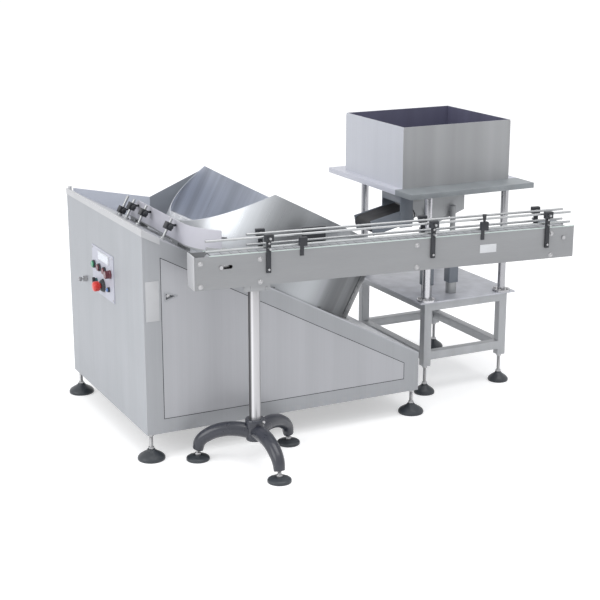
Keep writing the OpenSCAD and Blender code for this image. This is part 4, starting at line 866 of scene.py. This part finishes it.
# Control station on the left panel, each place a depth and a height
panelY, panelZ = layout["panelCentre"]
control = {
    "start": (606, 710), "stop": (536, 710), "jog": (466, 710), "dial": (396, 710),
    "selector": (581.5, 638), "mushroom": (panelY, 638), "pilot": (417, 638),
    "display": (476.5, 765), "key": (732, 614),
    "screws": (128, 92), "plateFace": 3,
}
controlRings = {
    "cap": (
        (7, -8), (7, 6.1), (13.4, 6.1), (14, 6.8), (14, 15.2), (13.2, 16.4), (12.0, 16.9), (10.4, 16.5),
        (6, 16.2), (1, 16.1),
    ),
    "dial": (
        (7, -8), (7, 3.3), (18.6, 3.3), (19, 4), (19, 9), (17.2, 11), (16.6, 27.5), (15.6, 29),
        (13, 29.3), (1, 29.3),
    ),
    "selector": ((7, -8), (7, 3.3), (14, 3.3), (14, 10), (12.6, 11.3), (1, 11.3)),
    "mushroom": (
        (11, -8), (11, 24), (20.6, 24.4), (22, 26.2), (22, 43), (21.2, 46.2), (19, 48.8), (15, 50.8),
        (8, 51.8), (1, 52),
    ),
    "lens": ((8.6, 10.4), (8.6, 13), (7.6, 15.6), (5.4, 17.4), (2.4, 18.2), (0.6, 18.3)),
    "screw": ((4.5, 0), (4.5, 1.2), (3.2, 2.2), (1, 2.4)),
    "keyBow": ((9, -1.4), (10.5, -0.8), (10.5, 0.8), (9, 1.4)),
}


def pushCap(name, button, finish):
    cap = moved(turned(name, controlRings["cap"], 40), onPanel(*control[button]))
    node = button + "_button"
    dress(cap, finish, node, (node,), 30)


# Grips pressed into every other face of the dial's side
grip = {"low": 0.012, "high": 0.027, "step": 15, "inset": 0.0007, "depth": 0.93}


def isGrip(face):
    across = math.degrees(math.atan2(face.center.y, face.center.x)) / grip["step"]
    onSide = abs(face.normal.z) < 0.5 and grip["low"] < face.center.z < grip["high"]
    return onSide and round(across + 24.5) % 2 == 0


def speedDial():
    place = onPanel(*control["dial"])
    dial = turned("speedDial", controlRings["dial"], 24)
    openFaces(dial, isGrip)
    bpy.ops.mesh.inset(thickness=grip["inset"], use_individual=True)
    bpy.ops.transform.resize(value=(grip["depth"], grip["depth"], 1), center_override=(0, 0, 0))
    closeFaces()
    pointer = soften(block("pointer", (2, -1, 28.6), (16, 1, 29.9)), 0.3)
    dress(moved(pointer, place), "whitePlastic", "speed_knob")
    dress(moved(dial, place), "maroonPlastic", "speed_knob", ("speed_knob",), 28)


def selector():
    place = onPanel(*control["selector"])
    base = moved(turned("selectorBase", controlRings["selector"], 36), place)
    dress(base, "tealPlastic", "selector_switch", ("selector_switch",))
    lever = soften(block("selectorLever", (-18, -6, 11), (18, 6, 24)), 3.2, 3)
    dress(moved(lever, place), "blackPlastic", "selector_switch")


def stopMushroom():
    mushroom = turned("stopMushroom", controlRings["mushroom"], 48)
    moved(mushroom, onPanel(*control["mushroom"]))
    dress(mushroom, "redPlastic", "estop_button", ("estop_button",), 40)


def pilotLens():
    lens = moved(turned("pilotLens", controlRings["lens"], 32), onPanel(*control["pilot"]))
    dress(lens, "blueLens")


def plateScrews():
    screw = soften(turned("plateScrew", controlRings["screw"], 16), 0.2)
    y, z = control["screws"]
    corners = [(panelY + a, panelZ + b) for a in (-y, y) for b in (-z, z)]
    places = [onPanel(a, b, control["plateFace"]) for a, b in corners]
    dress(repeated("plateScrews", screw, places), "turnedSteel")


def displayFrame():
    # A frame round the display's window, sunk by an inset
    surround = block("displayFrame", (-19, -69, 3.05), (19, 69, 6.0))
    openFaces(surround, lambda face: face.normal.z > 0.9)
    bpy.ops.mesh.inset(thickness=0.0038)
    bpy.ops.mesh.extrude_region_move(TRANSFORM_OT_translate={"value": (0, 0, -0.0028)})
    closeFaces()
    dress(moved(soften(surround, 0.6), onPanel(*control["display"])), "whitePlastic")


def keyHandle():
    place = onPanel(*control["key"])
    bow = moved(turned("keyBow", controlRings["keyBow"], 28), place @ shifted(z=31) @ turnedBy(90, "X"))
    shank = moved(soften(block("keyShank", (-1.1, -3.5, 12), (1.1, 3.5, 24)), 0.5), place)
    dress(joined("keyHandle", [bow, shank]), "turnedSteel", "key_lock")


pushCap("startCap", "start", "greenPlastic")
pushCap("stopCap", "stop", "maroonPlastic")
pushCap("jogCap", "jog", "maroonPlastic")
speedDial()
selector()
stopMushroom()
rounded("controlCollars", "bezels", 1.0, "blackPlastic")
pilotLens()
plateScrews()
displayFrame()
keyHandle()
print("control station ready")

# Conveyor: bolts, rail brackets with their screws, sensors, a bare plate and the end's cap
conveyorParts = {
    # Along the conveyor as shares of its length, and heights
    "ties": (0.013, 0.159, 0.563, 0.935), "levels": (874, 781),
    "brackets": (0.179, 0.604, 0.921),
    "upperScrew": (-13.5, layout["line"] + 35), "lowerScrew": (-11.5, 830),
    "bolt": ((11, 0), (11, 1.6), (8.6, 1.7), (8.4, 3.6), (7.2, 5.6), (5, 7), (2, 7.7), (0.5, 7.8)),
    "screw": ((4.6, 0), (4.6, 2.6), (3.6, 3.6), (1.2, 3.8)),
    "plateLow": (1241, -1.2, 816), "plateHigh": (1318, -0.1, 852),
}


def plateBolts():
    places = []
    for share in conveyorParts["ties"]:
        u = layout["conveyorLength"] * share
        for z in conveyorParts["levels"]:
            places.append(onConveyor(u, 0, z) @ turnedBy(90, "X"))
            places.append(onConveyor(u, layout["conveyorWidth"], z) @ turnedBy(-90, "X"))
    bolt = soften(turned("bolt", conveyorParts["bolt"], 28), 0.3)
    dress(repeated("plateBolts", bolt, places), "turnedSteel", smooth=50)


def clampScrews():
    places = []
    for share in conveyorParts["brackets"]:
        for w, z in (conveyorParts["upperScrew"], conveyorParts["lowerScrew"]):
            places.append(onConveyor(layout["conveyorLength"] * share, w, z) @ turnedBy(90, "X"))
    screw = soften(turned("clampScrew", conveyorParts["screw"], 20), 0.3)
    dress(repeated("clampScrews", screw, places), "turnedSteel")


def barePlate():
    plate = soften(block("barePlate", conveyorParts["plateLow"], conveyorParts["plateHigh"]), 0.5)
    dress(moved(plate, conveyorFrame), "whitePlastic")


plateBolts()
rounded("railClamps", "rail_brackets", 1.6, "blackPlastic")
clampScrews()
rounded("lightSensors", "sensors", 1.4, "blackPlastic")
barePlate()
rounded("endCap", "end_plate", 2.6, "paleTrim", segments=3)
rounded("standHead", "stand_column", 1.0, "poleSteel")
print("conveyor ready")

# Lane guard's clamps with their knobs
lane = {
    "x": 122, "shares": (0.093, 0.39, 0.54, 0.625), "clampLow": (44, 44, 44, 10), "middle": 15,
    "knob": ((4, 0), (4, 7), (9.5, 7.5), (10.5, 9), (10.5, 16), (9.5, 18), (6, 19), (1, 19.2)),
}


def laneKnobs():
    knob = soften(turned("laneKnob", lane["knob"], 14), 0.5)
    places = []
    for share, low in zip(lane["shares"], lane["clampLow"]):
        post = onDeck(lane["x"], layout["cabinetDepth"] * share)
        places.append(post @ shifted(0, -lane["middle"], low + lane["middle"]) @ turnedBy(90, "X"))
    dress(repeated("laneKnobs", knob, places), "blackPlastic")


rounded("laneClamps", "guard_clamps", 2.0, "blackPlastic")
laneKnobs()

# Cabinet's front: black strips painted as the shade in the gap round the door, its flush pull and the bare
# plate on the column
doorLow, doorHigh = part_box("service_door")[:2]
gapShade = {"width": 2.6, "front": -0.35, "back": 0.9}


def gapShadeStrip(start, end):
    # A strip on the front face between two corners, each an x and a z in metres
    span = Vector((end[0] - start[0], 0, end[1] - start[1]))
    half = gapShade["width"] / 2
    strip = block("strip", (-half, gapShade["front"], -half), (span.length * 1000 + half, gapShade["back"], half))
    place = Matrix.Translation((start[0], doorLow[1], start[1]))
    return moved(strip, place @ Matrix.Rotation(-math.atan2(span.z, span.x), 4, "Y"))


def doorGapShade():
    # Painted shade: black strips round the door's outline stand in for the shade in its gap
    rightTop = doorHigh[2] - (doorHigh[0] - doorLow[0]) * math.tan(tilt)
    left, right, low = doorLow[0], doorHigh[0], doorLow[2]
    corners = [(left, low), (right, low), (right, rightTop), (left, doorHigh[2])]
    strips = [gapShadeStrip(corners[i], corners[(i + 1) % 4]) for i in range(4)]
    dress(joined("doorGapShade", strips), "blackPlastic")


doorGapShade()
rounded("cupPull", "door_pull", 1.2, "frontSheet")
rounded("columnCover", "column_plate", 0.8, "paleTrim")

# Drum: spot welds on both sides of the wall's seam
spots = {
    "turn": -48, "radius": 472, "sides": (-9, 9), "low": 34, "pitch": 30, "count": 11,
    "rings": ((5, 0), (4.4, 0.8), (1.5, 1.1)),
}


def seamSpots():
    seamFrame = deckFrame @ turnedBy(spots["turn"], "Z")
    places = []
    for i in range(spots["count"]):
        for side in spots["sides"]:
            height = spots["low"] + i * spots["pitch"]
            places.append(seamFrame @ shifted(spots["radius"], side, height) @ turnedBy(90, "Y"))
    dress(repeated("seamSpots", turned("spot", spots["rings"], 14), places), "drumSheet")


seamSpots()

# Conveyor's gear motor: fins, cowl and terminal box
motor = {
    "place": (1426.5, 137, 808), "fins": 13, "pitch": 9, "firstFin": 34,
    "fin": ((41, 0), (45.5, 0.4), (45.5, 2.4), (41, 2.8)),
    "cowl": ((30, -9), (42, -7), (45.5, -3), (46, 0), (46, 28), (42.5, 28)),
    "boxLow": (-74, -27, 60), "boxHigh": (-38, 27, 122),
}
motorFrame = onConveyor(*motor["place"]) @ turnedBy(90, "Y")


def motorFins():
    fin = soften(turned("fin", motor["fin"], 40), 0.3)
    places = [motorFrame @ shifted(z=motor["firstFin"] + motor["pitch"] * i) for i in range(motor["fins"])]
    dress(repeated("motorFins", fin, places), "motorPaint")


def motorCowl():
    cowl = soften(turned("motorCowl", motor["cowl"], 40), 1.2)
    dress(moved(cowl, motorFrame), "blackPlastic")


def terminalBox():
    terminal = soften(block("terminalBox", motor["boxLow"], motor["boxHigh"]), 3, 3)
    dress(moved(terminal, motorFrame), "motorPaint")


motorFins()
motorCowl()
terminalBox()
rounded("gearCases", "gear_motors", 2.0, "motorPaint")
rounded("feederCase", "feeder", 1.6, "motorPaint")
rounded("chuteSheet", "feed_chute", 0.6, "plainSteel")
print("drum and motors ready")

# Weld beads up the hopper's corners, rippled every few millimetres
bead = {
    "x": (1361.1, 1936.9), "y": (270.6, 813.4), "low": 983,
    "radius": 2.2, "waist": 0.85, "start": 6, "ripple": 5, "count": 53,
}


def hopperWelds():
    wide, narrow = bead["radius"], bead["radius"] * bead["waist"]
    rings = [(wide, 0), (narrow, bead["start"])]
    for i in range(1, bead["count"] + 1):
        rings.append((wide if i % 2 else narrow, bead["start"] + bead["ripple"] * i))
    beads = []
    for x in bead["x"]:
        for y in bead["y"]:
            beads.append(moved(turned("bead", rings, 10), onFloor(x, y, bead["low"])))
    dress(joined("hopperWelds", beads), "hopperSheet", smooth=60)


# Screws that hold the back and right panels, and those on the flanges of the hopper's columns
panelScrew = {
    "rings": ((5.5, 0), (5.5, 0.8), (4.2, 2.2), (1.2, 2.8)),
    "back": ((26, 150), (26, 480), (26, 900), (330, 150), (650, 150), (970, 150), (1274, 150), (1274, 250)),
    "rightY": (26, 490, 954), "rightZ": (150, 250),
}
flange = {
    "x": (1467, 1886), "y": (218, 811), "top": 464, "ring": 31, "screws": 4,
    "rings": ((7.5, 0), (7.5, 1.2), (6, 1.4), (6, 5), (4.8, 5.8), (1, 5.9)),
}


def panelScrews():
    screw = soften(turned("panelScrew", panelScrew["rings"], 18), 0.3)
    places = []
    for x, z in panelScrew["back"]:
        places.append(onFloor(x, layout["cabinetDepth"], z) @ turnedBy(-90, "X"))
    for y in panelScrew["rightY"]:
        for z in panelScrew["rightZ"]:
            places.append(onFloor(layout["cabinetLength"], y, z) @ turnedBy(90, "Y"))
    dress(repeated("panelScrews", screw, places), "turnedSteel")


def flangeScrews():
    head = soften(turned("flangeScrew", flange["rings"], 6), 0.3)
    places = []
    for x in flange["x"]:
        for y in flange["y"]:
            for i in range(flange["screws"]):
                turn = turnedBy(45 + 360 / flange["screws"] * i, "Z")
                places.append(onFloor(x, y, flange["top"]) @ turn @ shifted(flange["ring"]))
    dress(repeated("flangeScrews", head, places), "turnedSteel")


hopperWelds()
panelScrews()
flangeScrews()
rounded("traySheetEdges", "tray", 1.2, "traySheet")
rounded("tableTubes", "table_frame", 1.6, "tubeSteel")
print("hopper stand ready")
